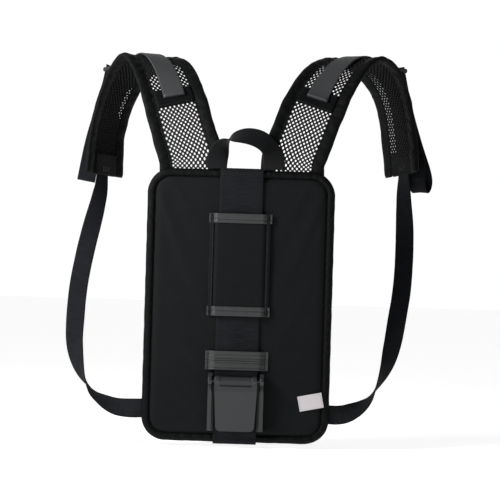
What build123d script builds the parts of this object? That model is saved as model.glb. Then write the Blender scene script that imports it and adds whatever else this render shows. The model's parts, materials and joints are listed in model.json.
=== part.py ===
from build123d import *
import os
from math import cos, radians, sin

# Carrying harness for a belt-type powered air unit: a padded back panel, two
# padded shoulder straps, a carry handle and a webbing clamp for the air unit.
# Millimetres. +X is to the right of someone facing the outer face, +Y points to
# the wearer, +Z is up. The origin is the centre of the panel's wearer-side face.

# ---- driving dimensions -------------------------------------------------
PANEL_WIDTH = 216
PANEL_HEIGHT = 314
PANEL_CORNER = 28
EDGE_Z = PANEL_HEIGHT / 2  # top and bottom of the panel
RIM_WIDTH = 12            # rolled binding round the panel
GROOVE = 0.6              # gap between the binding and what it holds

WEARER_FACE = 0           # layers of the panel, from the wearer outwards
REAR_COVER_Y = -1.6
FOAM_Y = -9.4
BOARD_Y = -11.4
FRONT_Y = -14.4
RIM_FRONT_Y = -14.0
LAYER_GAP = 0.1
FRONT_COVER_EDGE = 1.6    # rounding of the front cover
RIM_ROUND = 5             # rounding of the binding
SEWN_Y = FRONT_Y - LAYER_GAP        # rear of the pieces sewn on the front cover

WEB_WIDTH = 50            # main webbing
WEB_THICK = 1.6
WEB_BACK_Y = FRONT_Y - 2 * LAYER_GAP
WEB_EDGE_GAP = 0.4        # between the webbing and the edge it is folded round
WEB_TOP_Y, WEB_BOTTOM_Y = -12.8, -4  # how far back it reaches at either edge
SLIM_WEB = 22             # lower and tail webbing
OVERLAY_WEB = 25          # overlay and handle webbing
HANDLE_THICK = 1.8
TAIL_THICK = 1.5

SLEEVE_WIDTH = 71
SLEEVE_TOP = 106.5
SLEEVE_BOTTOM = -11.5
SLEEVE_WALL = 1.4         # its cloth on the outer side
SLEEVE_FRONT_Y = WEB_BACK_Y - WEB_THICK - 3.0
PASSAGE_WIDTH = WEB_WIDTH + 3       # the room inside the sleeve
TAPE_WIDTH = 72.5
TAPE_HEIGHT = 11
TAPE_THICK = 1.2
LOOP_TOP = -51.8
LOOP_TAPE_HEIGHT = 10.8
LOOP_TAPE_GAP = 0.3       # between the two tapes above the buckle
LABEL_WIDTH, LABEL_HEIGHT, LABEL_THICK = 28, 17.5, 0.7
LABEL_X, LABEL_Z, LABEL_TURN = 86.5, -108, 11.5

BUCKLE_TOP = -77
BUCKLE_BOTTOM = -144
BUCKLE_HALF = 32
BUCKLE_BASE_THICK = 1.8
WEB_RAISED_Y = WEB_BACK_Y - BUCKLE_BASE_THICK - 0.3  # the webbing over the base plate
RAIL_WIDTH = 4.6
EAR_RADIUS = 5.2
PIN_Y, PIN_Z = -26, -85.5
PIN_RADIUS = 1.6
BARREL_RADIUS = 4.6
PIN_CLEARANCE = 0.06
LEVER_TOP_WIDTH = 49
LEVER_END_WIDTH = 44
LEVER_CORNER = 6
LEVER_END_Z = -143.5
LEVER_FRONT_Y = PIN_Y - BARREL_RADIUS
LUG_WIDTH, LUG_RADIUS = 6.5, 5.4    # round lugs at both ends of the barrel
GROOVE_DEPTH, GROOVE_HEIGHT = 2.2, 2.2        # groove below the barrel

PAD_WIDTH = 74            # shoulder pad, across both edge bands
PAD_THICK = 11
EDGE_BAND = 15
BAND_GAP = 0.3
BAND_BEVEL = 2.4
MESH_WIDTH = PAD_WIDTH - 2 * EDGE_BAND - 2 * BAND_GAP
MESH_LOW, MESH_HIGH = 1.2, 3.6      # heights above the pad's middle surface
PATCH_HIGH = 5.4
OVERLAY_LOW, OVERLAY_HIGH = 5.9, 7.5
LOWER_LOW, LOWER_HIGH = 3.9, 5.4    # lower webbing where it lies on the pad
END_PATCH_LOW, END_PATCH_HIGH = 5.6, 6.6

LOCK_WIDTH = 32           # ladder-lock adjuster
LOCK_LENGTH = 24
LOCK_THICK = 3.6
LOCK_RAIL = 4
LOCK_BAR_RADIUS = 1.5
LOCK_GRIP_RADIUS = 2.7

SIDE_SIGN = {"left": -1, "right": 1}
# Stations of each flexible band: a point on its middle line and the direction
# across it. Shoulder pads run from the top seam, over the shoulder, to the end.
PAD_STATIONS = {
    "left": [
        ((-59, -4, 160.8), (-1, 0, 0)),
        ((-70, 3, 201), (-1, 0, -0.03)),
        ((-81.5, 17, 238), (-0.98, -0.12, -0.10)),
        ((-92.5, 36, 266.5), (-0.92, -0.28, -0.12)),
        ((-104.5, 54, 285), (-0.86, -0.46, -0.08)),
        ((-117, 73, 292), (-0.78, -0.62, 0)),
        ((-132, 92, 283), (-0.66, -0.74, 0.05)),
        ((-147.5, 106, 262.5), (-0.56, -0.82, 0.03)),
        ((-159, 114, 235), (-0.51, -0.86, 0)),
        ((-166.5, 118, 204), (-0.50, -0.86, 0)),
        ((-168.5, 118, 177), (-0.51, -0.86, 0)),
        ((-169, 117, 151), (-0.53, -0.84, 0)),
    ],
    "right": [
        ((58, -4, 160.8), (1, 0, 0)),
        ((70.5, 4, 204), (1, 0, 0)),
        ((84, 16, 239.5), (0.97, -0.12, -0.08)),
        ((99, 34, 268), (0.90, -0.32, -0.12)),
        ((116.5, 53, 288.5), (0.82, -0.52, -0.10)),
        ((135.5, 73, 296), (0.73, -0.67, 0)),
        ((154.5, 92, 288.5), (0.63, -0.77, 0.06)),
        ((171, 106, 270), (0.53, -0.84, 0.05)),
        ((182.5, 114, 243), (0.48, -0.87, 0.02)),
        ((189, 118, 210), (0.48, -0.87, 0)),
        ((192, 118, 183), (0.47, -0.87, -0.05)),
        ((194, 117, 162), (0.46, -0.88, -0.08)),
    ],
}
# Lower webbing: on from the pad's end, down and round with one half twist, to
# the panel's side.
LOWER_STATIONS = {
    "left": [
        ((-171.5, 116, 143), (-0.60, -0.80, 0)),
        ((-174.5, 107, 118), (-0.75, -0.60, 0)),
        ((-180, 98, 91), (-0.92, -0.35, 0)),
        ((-186, 85, 59), (-1, -0.05, 0)),
        ((-191.5, 69, 19), (-1, 0, 0)),
        ((-193, 53, -19), (-1, 0.1, 0)),
        ((-191.5, 38, -52), (-0.88, 0.45, 0)),
        ((-183, 24, -80), (-0.55, 0.85, 0)),
        ((-169, 11, -102), (0, 1, 0.10)),
        ((-156, 3, -112), (0.10, 0.88, 0.45)),
        ((-140, -3, -119.5), (0.05, 0.60, 0.80)),
        ((-124, -6, -121.5), (0, 0.25, 0.97)),
        ((-113.5, -7, -121), (0, 0, 1)),
    ],
    "right": [
        ((196.5, 116, 152), (0.60, -0.80, 0)),
        ((197, 106, 124), (0.75, -0.60, 0)),
        ((198, 96, 93), (0.95, -0.30, 0)),
        ((197, 81, 56), (1, 0, 0)),
        ((194, 66, 21), (1, 0, 0)),
        ((188.5, 51, -11), (1, 0.1, 0)),
        ((182.5, 36, -42), (0.92, 0.38, 0)),
        ((174, 23, -70), (0.62, 0.78, 0)),
        ((160, 11, -97), (0.1, 1, 0.08)),
        ((148, 3, -110), (-0.10, 0.88, 0.45)),
        ((135, -3, -118), (-0.05, 0.60, 0.80)),
        ((122, -6, -122.5), (0, 0.25, 0.97)),
        ((113.5, -7, -122.5), (0, 0, 1)),
    ],
}
HANDLE_STATIONS = [
    ((-30, -11.4, 161.4), (-1, 0, 0)),
    ((-27, -12, 177), (-0.90, -0.42, 0.10)),
    ((-20, -13, 189), (-0.52, -0.85, -0.05)),
    ((-9, -14, 194.5), (-0.05, -0.85, -0.50)),
    ((7, -14, 196), (0, -0.62, -0.78)),
    ((22.5, -14, 191), (-0.25, -0.50, -0.83)),
    ((33.5, -14, 178.5), (-0.85, -0.45, -0.25)),
    ((37, -11.4, 161.4), (-1, 0, 0)),
]
# Webbing tails, from just under the lock's grip bar to the free end; the right one
# is turned up into a pull loop.
TAIL_STATIONS = {
    "left": [
        ((-163.5, 121, 274.5), (-0.70, -0.70, 0)),
        ((-170, 123, 246), (-0.75, -0.66, 0)),
        ((-182.5, 124, 196), (-0.90, -0.42, 0)),
        ((-191.5, 124, 143.5), (-1, -0.10, 0)),
    ],
    "right": [
        ((185.5, 120, 282), (0.68, -0.73, 0)),
        ((195, 124, 250), (0.72, -0.69, 0)),
        ((207.5, 125, 205), (0.80, -0.60, 0)),
        ((220, 122, 166), (0.85, -0.50, 0)),
        ((222, 121, 151), (0.85, -0.50, 0)),
        ((218, 116, 142), (0.85, -0.50, 0)),
        ((213, 112, 149), (0.85, -0.50, 0)),
        ((213, 112, 166), (0.85, -0.50, 0)),
    ],
}
# Places along a pad, counted in stations.
PAD_END = 11
PATCH_START, PATCH_END = 1.80, 2.40
OVERLAY_START, OVERLAY_END = 2.05, 5.6
LOCK_STATION = 6.35       # the lock's fixed bar
LOWER_START = 7.45        # upper end of the lower webbing
END_PATCH_START = 10
PIECE_ENDS = (PATCH_START, PATCH_END, OVERLAY_START, OVERLAY_END, LOWER_START)
LOCK_STANDOFF = 11.5      # height of the fixed bar above the pad's middle
LOCK_LIFT = 34            # degrees between the lock and the pad below it


# ---- helpers ------------------------------------------------------------
def rear_to_front(y):
    """A plane facing the front, so an extrusion from it grows forwards."""
    return Plane(origin=(0, y, 0), x_dir=(1, 0, 0), z_dir=(0, -1, 0))


def slab(width, height, radius, rear, front, x=0, z=0, turn=0):
    """A rounded rectangular layer between two depths."""
    outline = Pos(x, z) * Rot(0, 0, turn) * RectangleRounded(width, height, radius)
    return extrude(rear_to_front(rear) * outline, amount=rear - front)


def side_profile(points, half_width, centre=0):
    """A closed outline of (y, z) points, made as wide as stated along X."""
    face = make_face(Polyline(*[(0, y, z) for y, z in points], close=True))
    return extrude(face, amount=half_width, both=True).moved(Location((centre, 0, 0)))


def frames(stations, side, first=None, last=None):
    """At each station: point, across, and the direction out of the outer face."""
    points = [Vector(*point) for point, _ in stations]
    result = []
    for i, (point, across) in enumerate(stations):
        before, after = points[max(i - 1, 0)], points[min(i + 1, len(points) - 1)]
        along = (after - before).normalized()
        if i == 0 and first:
            along = Vector(*first)
        if i == len(points) - 1 and last:
            along = Vector(*last)
        wide = Vector(*across)
        wide = (wide - along * wide.dot(along)).normalized()
        result.append((points[i], wide, wide.cross(along) * side))
    return result


def at(run, place):
    """The frame at a place between two stations."""
    i = min(int(place), len(run) - 2)
    t = place - i
    return tuple(a * (1 - t) + b * t for a, b in zip(run[i], run[i + 1]))


def stretch(run, start, end):
    """The frames from one place on a pad to another.

    They stop at every station and wherever a piece on the pad begins or ends, so
    that layers lying on each other share their facets.
    """
    stops = sorted({*range(len(run)), *PIECE_ENDS})
    places = [start, *(stop for stop in stops if start < stop < end), end]
    return [at(run, place) for place in places]


def skin(sections):
    """A closed solid of flat triangles through matching rings of points.

    Opposite sides are split along the same diagonal, so a twisted band keeps its
    thickness.
    """
    faces = [Face(Wire.make_polygon(ring)) for ring in (sections[0], sections[-1])]
    for a, b in zip(sections, sections[1:]):
        for i in range(len(a)):
            j = (i + 1) % len(a)
            if i < len(a) // 2:
                triangles = [[a[i], a[j], b[j]], [a[i], b[j], b[i]]]
            else:
                triangles = [[a[i], a[j], b[i]], [a[j], b[j], b[i]]]
            faces += [Face(Wire.make_polygon(corners)) for corners in triangles]
    return Solid(Shell(faces))


def band(run, width, low, high, centre=0.0):
    """A flat band through frames, lying between two heights above the middle."""
    near, far = centre - width / 2, centre + width / 2
    corners = [(near, low), (far, low), (far, high), (near, high)]
    return skin([[p + across * a + out * b for a, b in corners] for p, across, out in run])


def soft_band(run, width, low, high, centre=0.0, bevel=BAND_BEVEL):
    """The same with bevelled long edges, for a padded band."""
    near, far = centre - width / 2, centre + width / 2
    corners = [
        (near + bevel, low), (far - bevel, low), (far, low + bevel), (far, high - bevel),
        (far - bevel, high), (near + bevel, high), (near, high - bevel), (near, low + bevel),
    ]
    return skin([[p + across * a + out * b for a, b in corners] for p, across, out in run])


# ---- back panel ---------------------------------------------------------
def inner_layer(rear, front):
    inset = 2 * (RIM_WIDTH + GROOVE)
    radius = PANEL_CORNER - RIM_WIDTH - GROOVE
    return slab(PANEL_WIDTH - inset, PANEL_HEIGHT - inset, radius, rear, front)


def rear_cover():
    return inner_layer(WEARER_FACE, REAR_COVER_Y)


def foam_core():
    return inner_layer(REAR_COVER_Y - LAYER_GAP, FOAM_Y)


def stiffener_board():
    return inner_layer(FOAM_Y - LAYER_GAP, BOARD_Y)


def front_cover():
    cover = inner_layer(BOARD_Y - LAYER_GAP, FRONT_Y)
    return fillet(cover.faces().sort_by(Axis.Y)[0].edges(), FRONT_COVER_EDGE)


def edge_binding():
    inset = 2 * RIM_WIDTH
    rear = WEARER_FACE - 0.3
    ring = slab(PANEL_WIDTH, PANEL_HEIGHT, PANEL_CORNER, rear, RIM_FRONT_Y)
    ring = fillet(ring.faces().sort_by(Axis.Y)[0].edges(), RIM_ROUND)
    ring = fillet(ring.faces().sort_by(Axis.Y)[-1].edges(), RIM_ROUND)
    return ring - slab(
        PANEL_WIDTH - inset, PANEL_HEIGHT - inset, PANEL_CORNER - RIM_WIDTH, 1, RIM_FRONT_Y - 1
    )


# ---- webbing, sleeve and tapes on the front ------------------------------
def main_webbing():
    """From the top seam down the front, through the clamp and round the bottom."""
    edge = EDGE_Z + WEB_EDGE_GAP
    line = [
        (WEB_BACK_Y, edge),
        (WEB_BACK_Y, LOOP_TOP),
        (WEB_RAISED_Y, BUCKLE_TOP + 2),
        (WEB_RAISED_Y, BUCKLE_BOTTOM - 1),
        (WEB_BACK_Y, BUCKLE_BOTTOM - 8),
        (WEB_BACK_Y, -edge),
    ]
    outer = edge + WEB_THICK
    outline = (
        [(WEB_TOP_Y, edge)]
        + line
        + [(WEB_BOTTOM_Y, -edge), (WEB_BOTTOM_Y, -outer)]
        + [(WEB_BACK_Y - WEB_THICK, -outer)]
        + [(y - WEB_THICK, z) for y, z in reversed(line[1:-1])]
        + [(WEB_BACK_Y - WEB_THICK, outer), (WEB_TOP_Y, outer)]
    )
    return side_profile(outline, WEB_WIDTH / 2)


def sleeve():
    """A raised flat tube of fabric sewn to the panel at both sides."""
    height = SLEEVE_TOP - SLEEVE_BOTTOM
    middle = (SLEEVE_TOP + SLEEVE_BOTTOM) / 2
    shell = slab(SLEEVE_WIDTH, height, 2, SEWN_Y, SLEEVE_FRONT_Y, z=middle)
    shell = fillet(shell.faces().sort_by(Axis.Y)[0].edges(), 1)
    room = slab(PASSAGE_WIDTH, height + 10, 0.4, SEWN_Y + 1, SLEEVE_FRONT_Y + SLEEVE_WALL, z=middle)
    return shell - room


def sleeve_tape(top):
    """A stitched tape along one end of the sleeve."""
    rear = SLEEVE_FRONT_Y - LAYER_GAP
    tape = slab(TAPE_WIDTH, TAPE_HEIGHT, 1, rear, rear - TAPE_THICK, z=top - TAPE_HEIGHT / 2)
    return fillet(tape.faces().sort_by(Axis.Y)[0].edges(), 0.5)


def loop_tape(top):
    """A tape sewn down at both ends that bridges the webbing."""
    foot, crest = SEWN_Y, WEB_RAISED_Y - WEB_THICK - 0.5
    half, span, thick = TAPE_WIDTH / 2, WEB_WIDTH / 2 + 1.2, TAPE_THICK
    outline = [
        (-half, foot), (-span - 3, foot), (-span, crest), (span, crest), (span + 3, foot),
        (half, foot), (half, foot - thick), (span + 4, foot - thick), (span + 1, crest - thick),
        (-span - 1, crest - thick), (-span - 4, foot - thick), (-half, foot - thick),
    ]
    face = make_face(Polyline(*[(x, y, 0) for x, y in outline], close=True))
    return extrude(face, amount=LOOP_TAPE_HEIGHT).moved(Location((0, 0, top - LOOP_TAPE_HEIGHT)))


def label():
    """A small blank label, sewn on at a slant."""
    return slab(
        LABEL_WIDTH, LABEL_HEIGHT, 0.8, SEWN_Y, SEWN_Y - LABEL_THICK,
        x=LABEL_X, z=LABEL_Z, turn=LABEL_TURN,
    )


# ---- lever buckle ---------------------------------------------------------
def buckle_frame():
    """Base plate behind the webbing and two rounded side rails that end in hinge ears."""
    rear = SEWN_Y
    height = BUCKLE_TOP - BUCKLE_BOTTOM
    middle = (BUCKLE_TOP + BUCKLE_BOTTOM) / 2
    base = slab(2 * BUCKLE_HALF, height - 6, 4, rear, rear - BUCKLE_BASE_THICK, z=middle - 3)
    rail_front = PIN_Y - 1.4
    outline = [
        (rear, BUCKLE_TOP - 4), (rear, BUCKLE_BOTTOM + 3), (rear - 4, BUCKLE_BOTTOM),
        (rear - 8, BUCKLE_BOTTOM + 2), (rail_front, PIN_Z - 10), (PIN_Y, PIN_Z),
        (PIN_Y + 2, BUCKLE_TOP - 1), (rear - 4, BUCKLE_TOP),
    ]
    frame = base
    for centre in (-BUCKLE_HALF + RAIL_WIDTH / 2, BUCKLE_HALF - RAIL_WIDTH / 2):
        rail = side_profile(outline, RAIL_WIDTH / 2, centre)
        rail = fillet(rail.edges().filter_by(Axis.X, reverse=True).group_by(Axis.Y)[0], 1.5)
        ear = Cylinder(EAR_RADIUS, RAIL_WIDTH, rotation=(0, 90, 0))
        ear = fillet(ear.edges().filter_by(GeomType.CIRCLE), 1.1)
        frame += rail
        frame += ear.moved(Location((centre, PIN_Y, PIN_Z)))
    bore = Cylinder(PIN_RADIUS, 2 * BUCKLE_HALF - 3, rotation=(0, 90, 0))
    return frame - bore.moved(Location((0, PIN_Y, PIN_Z)))


def hinge_pin():
    pin = Cylinder(PIN_RADIUS - PIN_CLEARANCE, 2 * BUCKLE_HALF - 3.4, rotation=(0, 90, 0))
    return pin.moved(Location((0, PIN_Y, PIN_Z)))


def buckle_lever():
    """Tapered thumb plate with a rolled barrel between two lugs along its top."""
    plate_profile = [
        (PIN_Y - 0.6, PIN_Z), (PIN_Y - 0.6, PIN_Z - 8), (WEB_RAISED_Y - 6.6, LEVER_END_Z),
        (WEB_RAISED_Y - 9.6, LEVER_END_Z), (LEVER_FRONT_Y, PIN_Z - 12), (LEVER_FRONT_Y, PIN_Z),
    ]
    plate = side_profile(plate_profile, LEVER_TOP_WIDTH / 2)
    half_top, half_end = LEVER_TOP_WIDTH / 2, LEVER_END_WIDTH / 2
    taper = make_face(
        Polyline(
            (-half_top, PIN_Z + 2), (half_top, PIN_Z + 2), (half_top, PIN_Z - 10),
            (half_end, LEVER_END_Z), (-half_end, LEVER_END_Z), (-half_top, PIN_Z - 10), close=True,
        )
    )
    taper = fillet(taper.vertices().sort_by(Axis.Y)[:2], LEVER_CORNER)
    plate = plate & extrude(rear_to_front(FRONT_Y) * taper, amount=30)
    barrel = Cylinder(BARREL_RADIUS, LEVER_TOP_WIDTH, rotation=(0, 90, 0))
    lever = plate + barrel.moved(Location((0, PIN_Y, PIN_Z)))
    groove_width = LEVER_TOP_WIDTH - 2 * LUG_WIDTH
    groove = Box(groove_width, 2 * GROOVE_DEPTH, GROOVE_HEIGHT)
    lever -= groove.moved(Location((0, LEVER_FRONT_Y, PIN_Z - BARREL_RADIUS - 0.6)))
    for sign in (-1, 1):
        lug = Cylinder(LUG_RADIUS, LUG_WIDTH, rotation=(0, 90, 0))
        lug = fillet(lug.edges().filter_by(GeomType.CIRCLE), 1.2)
        lever += lug.moved(Location((sign * (LEVER_TOP_WIDTH - LUG_WIDTH) / 2, PIN_Y, PIN_Z)))
    bore = Cylinder(PIN_RADIUS, LEVER_TOP_WIDTH + 4, rotation=(0, 90, 0))
    return lever - bore.moved(Location((0, PIN_Y, PIN_Z)))


# ---- carry handle ---------------------------------------------------------
def handle():
    run = frames(HANDLE_STATIONS, 1, first=(0, 0, 1), last=(0, 0, -1))
    return band(run, OVERLAY_WEB, -HANDLE_THICK / 2, HANDLE_THICK / 2)


def seam_tab(x, y, width, thick):
    """The end of a band, sewn into the top seam."""
    low, high = EDGE_Z + 0.1, EDGE_Z + 1.6
    return Box(width, thick, high - low).moved(Location((x, y, (low + high) / 2)))


def handle_anchors():
    left, right = HANDLE_STATIONS[0][0], HANDLE_STATIONS[-1][0]
    tabs = [seam_tab(x, y, OVERLAY_WEB, HANDLE_THICK) for x, y, _ in (left, right)]
    return Compound(children=tabs)


# ---- shoulder straps --------------------------------------------------------
def pad_run(side):
    return frames(PAD_STATIONS[side], SIDE_SIGN[side], first=(0, 0, 1))


def strap_edges(side):
    """The two padded bands along the strap."""
    offset = (PAD_WIDTH - EDGE_BAND) / 2
    run = stretch(pad_run(side), 0, PAD_END)
    half = PAD_THICK / 2
    return Compound(children=[soft_band(run, EDGE_BAND, -half, half, c) for c in (-offset, offset)])


def strap_mesh(side):
    return band(stretch(pad_run(side), 0, PAD_END), MESH_WIDTH, MESH_LOW, MESH_HIGH)


def cross_patch(side):
    run = stretch(pad_run(side), PATCH_START, PATCH_END)
    return band(run, MESH_WIDTH, MESH_HIGH + LAYER_GAP, PATCH_HIGH)


def end_patch(side):
    run = stretch(pad_run(side), END_PATCH_START, PAD_END)
    return band(run, MESH_WIDTH, END_PATCH_LOW, END_PATCH_HIGH)


def overlay(side):
    """Webbing from the cross patch over the shoulder, up to the lock's fixed bar."""
    run = stretch(pad_run(side), OVERLAY_START, OVERLAY_END)
    flat = [(point + out * OVERLAY_LOW, across, out) for point, across, out in run]
    bar, across, along, _ = lock_frame(side)
    _, _, out = at(pad_run(side), LOCK_STATION)
    lifted = bar - along * (LOCK_BAR_RADIUS + 0.5) - out * (OVERLAY_HIGH - OVERLAY_LOW)
    return band([*flat, (lifted, across, out)], OVERLAY_WEB, 0, OVERLAY_HIGH - OVERLAY_LOW)


def strap_anchor(side):
    x, y, _ = PAD_STATIONS[side][0][0]
    return seam_tab(x, y, PAD_WIDTH - 4, PAD_THICK - 2)


# ---- ladder locks and their webbing -----------------------------------------
def lock_frame(side):
    """Fixed bar's centre, across, along (out to the grip bar) and normal."""
    run = pad_run(side)
    point, across, _ = at(run, LOCK_STATION)
    ahead, behind = at(run, LOCK_STATION + 0.2)[0], at(run, LOCK_STATION - 0.2)[0]
    across = across.normalized()
    out = (across.cross(ahead - behind) * SIDE_SIGN[side]).normalized()
    down = out.cross(across) * SIDE_SIGN[side]
    along = down * cos(radians(LOCK_LIFT)) + out * sin(radians(LOCK_LIFT))
    return point + out * LOCK_STANDOFF, across, along, along.cross(across)


def lower_webbing(side):
    """From below the ladder lock, along the pad, then down to the panel's side."""
    pad = stretch(pad_run(side), LOWER_START, PAD_END)
    thick = LOWER_HIGH - LOWER_LOW
    laid = [(point + out * LOWER_LOW, across, out) for point, across, out in pad]
    inwards = (-SIDE_SIGN[side], 0, 0)
    free = frames(LOWER_STATIONS[side], SIDE_SIGN[side], first=(0, 0, -1), last=inwards)
    return band([*laid, *free], SLIM_WEB, 0, thick)


def lower_anchor(side):
    """The stub of webbing sewn into the panel's side seam."""
    x, y, z = LOWER_STATIONS[side][-1][0]
    length = abs(x) - PANEL_WIDTH / 2 - 0.9
    middle = (PANEL_WIDTH / 2 + 0.1 + length / 2) * SIDE_SIGN[side]
    return Box(length, LOWER_HIGH - LOWER_LOW, SLIM_WEB).moved(Location((middle, y, z)))


def tail(side):
    run = frames(TAIL_STATIONS[side], SIDE_SIGN[side])
    return band(run, SLIM_WEB, -TAIL_THICK / 2, TAIL_THICK / 2)


def ladder_lock(side):
    """Two side rails and three bars, with a thick round grip bar outermost."""
    origin, across, along, normal = lock_frame(side)
    plane = Plane(origin=origin, x_dir=across, z_dir=normal)
    reach = 1 if plane.y_dir.dot(along) > 0 else -1
    parts = []
    for x in (-(LOCK_WIDTH - LOCK_RAIL) / 2, (LOCK_WIDTH - LOCK_RAIL) / 2):
        parts.append(Box(LOCK_RAIL, LOCK_LENGTH, LOCK_THICK).moved(Location((x, reach * LOCK_LENGTH / 2, 0))))
    bars = [(0, LOCK_BAR_RADIUS), (LOCK_LENGTH / 2, LOCK_BAR_RADIUS), (LOCK_LENGTH, LOCK_GRIP_RADIUS)]
    for y, radius in bars:
        bar = Cylinder(radius, LOCK_WIDTH, rotation=(0, 90, 0))
        parts.append(bar.moved(Location((0, reach * y, 0))))
    lock = parts[0]
    for piece in parts[1:]:
        lock += piece
    return plane.location * lock


PARTS = {
    "rear_cover": rear_cover,
    "foam_core": foam_core,
    "stiffener_board": stiffener_board,
    "front_cover": front_cover,
    "edge_binding": edge_binding,
    "main_webbing": main_webbing,
    "sleeve": sleeve,
    "sleeve_top_tape": lambda: sleeve_tape(SLEEVE_TOP),
    "sleeve_bottom_tape": lambda: sleeve_tape(SLEEVE_BOTTOM + TAPE_HEIGHT),
    "loop_upper_tape": lambda: loop_tape(LOOP_TOP),
    "loop_lower_tape": lambda: loop_tape(LOOP_TOP - LOOP_TAPE_HEIGHT - LOOP_TAPE_GAP),
    "label": label,
    "buckle_frame": buckle_frame,
    "hinge_pin": hinge_pin,
    "buckle_lever": buckle_lever,
    "handle": handle,
    "handle_anchors": handle_anchors,
}

os.makedirs("parts", exist_ok=True)
for name, make in PARTS.items():
    export_step(make(), f"parts/{name}.step")
for side in SIDE_SIGN:
    for name, make in (
        ("strap_edges", strap_edges),
        ("strap_mesh", strap_mesh),
        ("cross_patch", cross_patch),
        ("end_patch", end_patch),
        ("overlay", overlay),
        ("strap_anchor", strap_anchor),
        ("ladder_lock", ladder_lock),
        ("lower_webbing", lower_webbing),
        ("lower_anchor", lower_anchor),
        ("tail", tail),
    ):
        export_step(make(side), f"parts/{side}_{name}.step")
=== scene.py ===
import json
import math
from collections import namedtuple

import bmesh
import bpy
import numpy as np
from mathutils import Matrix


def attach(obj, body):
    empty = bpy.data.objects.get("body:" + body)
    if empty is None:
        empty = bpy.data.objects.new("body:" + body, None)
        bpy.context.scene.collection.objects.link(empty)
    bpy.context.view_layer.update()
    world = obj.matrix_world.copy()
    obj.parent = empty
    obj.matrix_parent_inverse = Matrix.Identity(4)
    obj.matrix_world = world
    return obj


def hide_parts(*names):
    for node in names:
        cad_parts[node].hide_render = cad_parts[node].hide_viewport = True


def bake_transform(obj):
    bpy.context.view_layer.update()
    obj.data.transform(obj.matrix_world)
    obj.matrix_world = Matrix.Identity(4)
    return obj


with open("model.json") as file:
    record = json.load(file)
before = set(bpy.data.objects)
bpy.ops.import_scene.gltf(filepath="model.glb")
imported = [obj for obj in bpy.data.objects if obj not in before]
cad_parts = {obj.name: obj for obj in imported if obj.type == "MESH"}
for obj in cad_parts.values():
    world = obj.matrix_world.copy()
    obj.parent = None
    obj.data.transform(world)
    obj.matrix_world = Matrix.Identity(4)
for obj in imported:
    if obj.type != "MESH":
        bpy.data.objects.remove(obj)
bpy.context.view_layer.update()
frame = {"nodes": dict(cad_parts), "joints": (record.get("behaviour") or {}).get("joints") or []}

# Looks of a carrying harness for a belt-type air unit: back panel, webbing clamp,
# carry handle and two padded shoulder straps. Metres, in the frame of the CAD model.

MM = 0.001
SIDES = {"left": -1, "right": 1}

# ---- named sizes, in millimetres, as in the CAD model -----------------------
PANEL_WIDTH, PANEL_HEIGHT, PANEL_CORNER = 216, 314, 28
RIM_WIDTH, RIM_THICK = 12, 13.7
FRONT_Y = -14.4
WEB_BACK_Y, WEB_THICK, WEB_WIDTH = -14.6, 1.6, 50
WEB_RAISED_Y = -16.7
SLIM_WEB, OVERLAY_WEB = 22, 25
EDGE_Z = PANEL_HEIGHT / 2
SLEEVE_WIDTH, SLEEVE_TOP, SLEEVE_BOTTOM = 71, 106.5, -11.5
SLEEVE_FRONT_Y = -19.2
TAPE_WIDTH, TAPE_HEIGHT, TAPE_THICK = 72.5, 11, 1.2
LOOP_TOP, LOOP_TAPE_HEIGHT = -51.8, 10.8
BUCKLE_TOP, BUCKLE_BOTTOM = -77, -144
LABEL_AT, LABEL_TURN = (86.5, -108), 11.5
PAD_WIDTH, EDGE_BAND = 74, 15
PAD_END = 11
PATCH_START, PATCH_END = 1.80, 2.40
BACKING_START = 5.4
# how far the cloth backing reaches across each strap: inboard edge, outboard edge
BACKING_REACH = {"left": (-16.5, 25), "right": (-11, 25)}
OPEN_STRIP = {"left": (7.2, 8.4), "right": (0, 9.7)}
OVERLAY_START, OVERLAY_END = 2.05, 5.6
LOWER_START = 7.45
END_PATCH_START = 10
LOCK_STATION, LOCK_LENGTH = 6.35, 24
LOCK_BAR_RADIUS, LOCK_GRIP_RADIUS = 1.5, 2.7
LABEL_WIDTH, LABEL_HEIGHT = 28, 17.5
PAD_START = -0.25            # the place of a pad's tucked-in end

# ---- named sizes in metres, and settings ------------------------------------
SEAM_TUCK = 10 * MM          # how far a pad reaches into the panel's top seam
STITCH_PITCH, STITCH_LENGTH, THREAD = 3.0 * MM, 2.2 * MM, 0.55 * MM
NET_ACROSS, NET_ALONG = 2.6 * MM, 3.25 * MM      # half spacing of the net's holes
HOLE_ACROSS, HOLE_ALONG = 1.12 * MM, 1.55 * MM   # half size of a hole
BAND_STEP, WEAVE_STEP, PATCH_STEP = 1.5 * MM, 0.31 * MM, 0.8 * MM   # spacing of rows
CLOTH_FRAMES, CLOTH_PRESSURE, CLOTH_SLACK = 26, 0.6, 0.003
CLOTH_REACH, CLOTH_SHARE = 1.0 * MM, 0.5   # cap on a cover's depth change, and share kept
COVER_THICK, COVER_STEP = 0.7 * MM, 3.2 * MM
RIB_RELIEF, WEB_UNEVEN = 0.09, 0.12 * MM * 0.4     # height of webbing's ribs, and its waviness
TACK_PITCH = 0.62 * MM
ROWS_PER_STATION = 40        # rows that a band's frames get between two stations
CAMERA_AT, CAMERA_ROLL, CAMERA_LENS = (0.0117, -2.214, 0.0651), -1.7, 137.5
KEY_AT, KEY_AIM, KEY_SIZE, KEY_POWER = (-0.50, -0.32, 0.38), (-0.06, 0, 0.06), 0.24, 6.0
FADE_FRONT, FADE_BACK, SWEEP_LIGHT = 0.1, 0.8, 1.02   # where the room turns into the sweep
ROOM_LIGHT = 0.06            # brightness of the room in front of the object
FLOOR_GLOW, FLOOR_REACH = 0.66, 6.0

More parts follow.
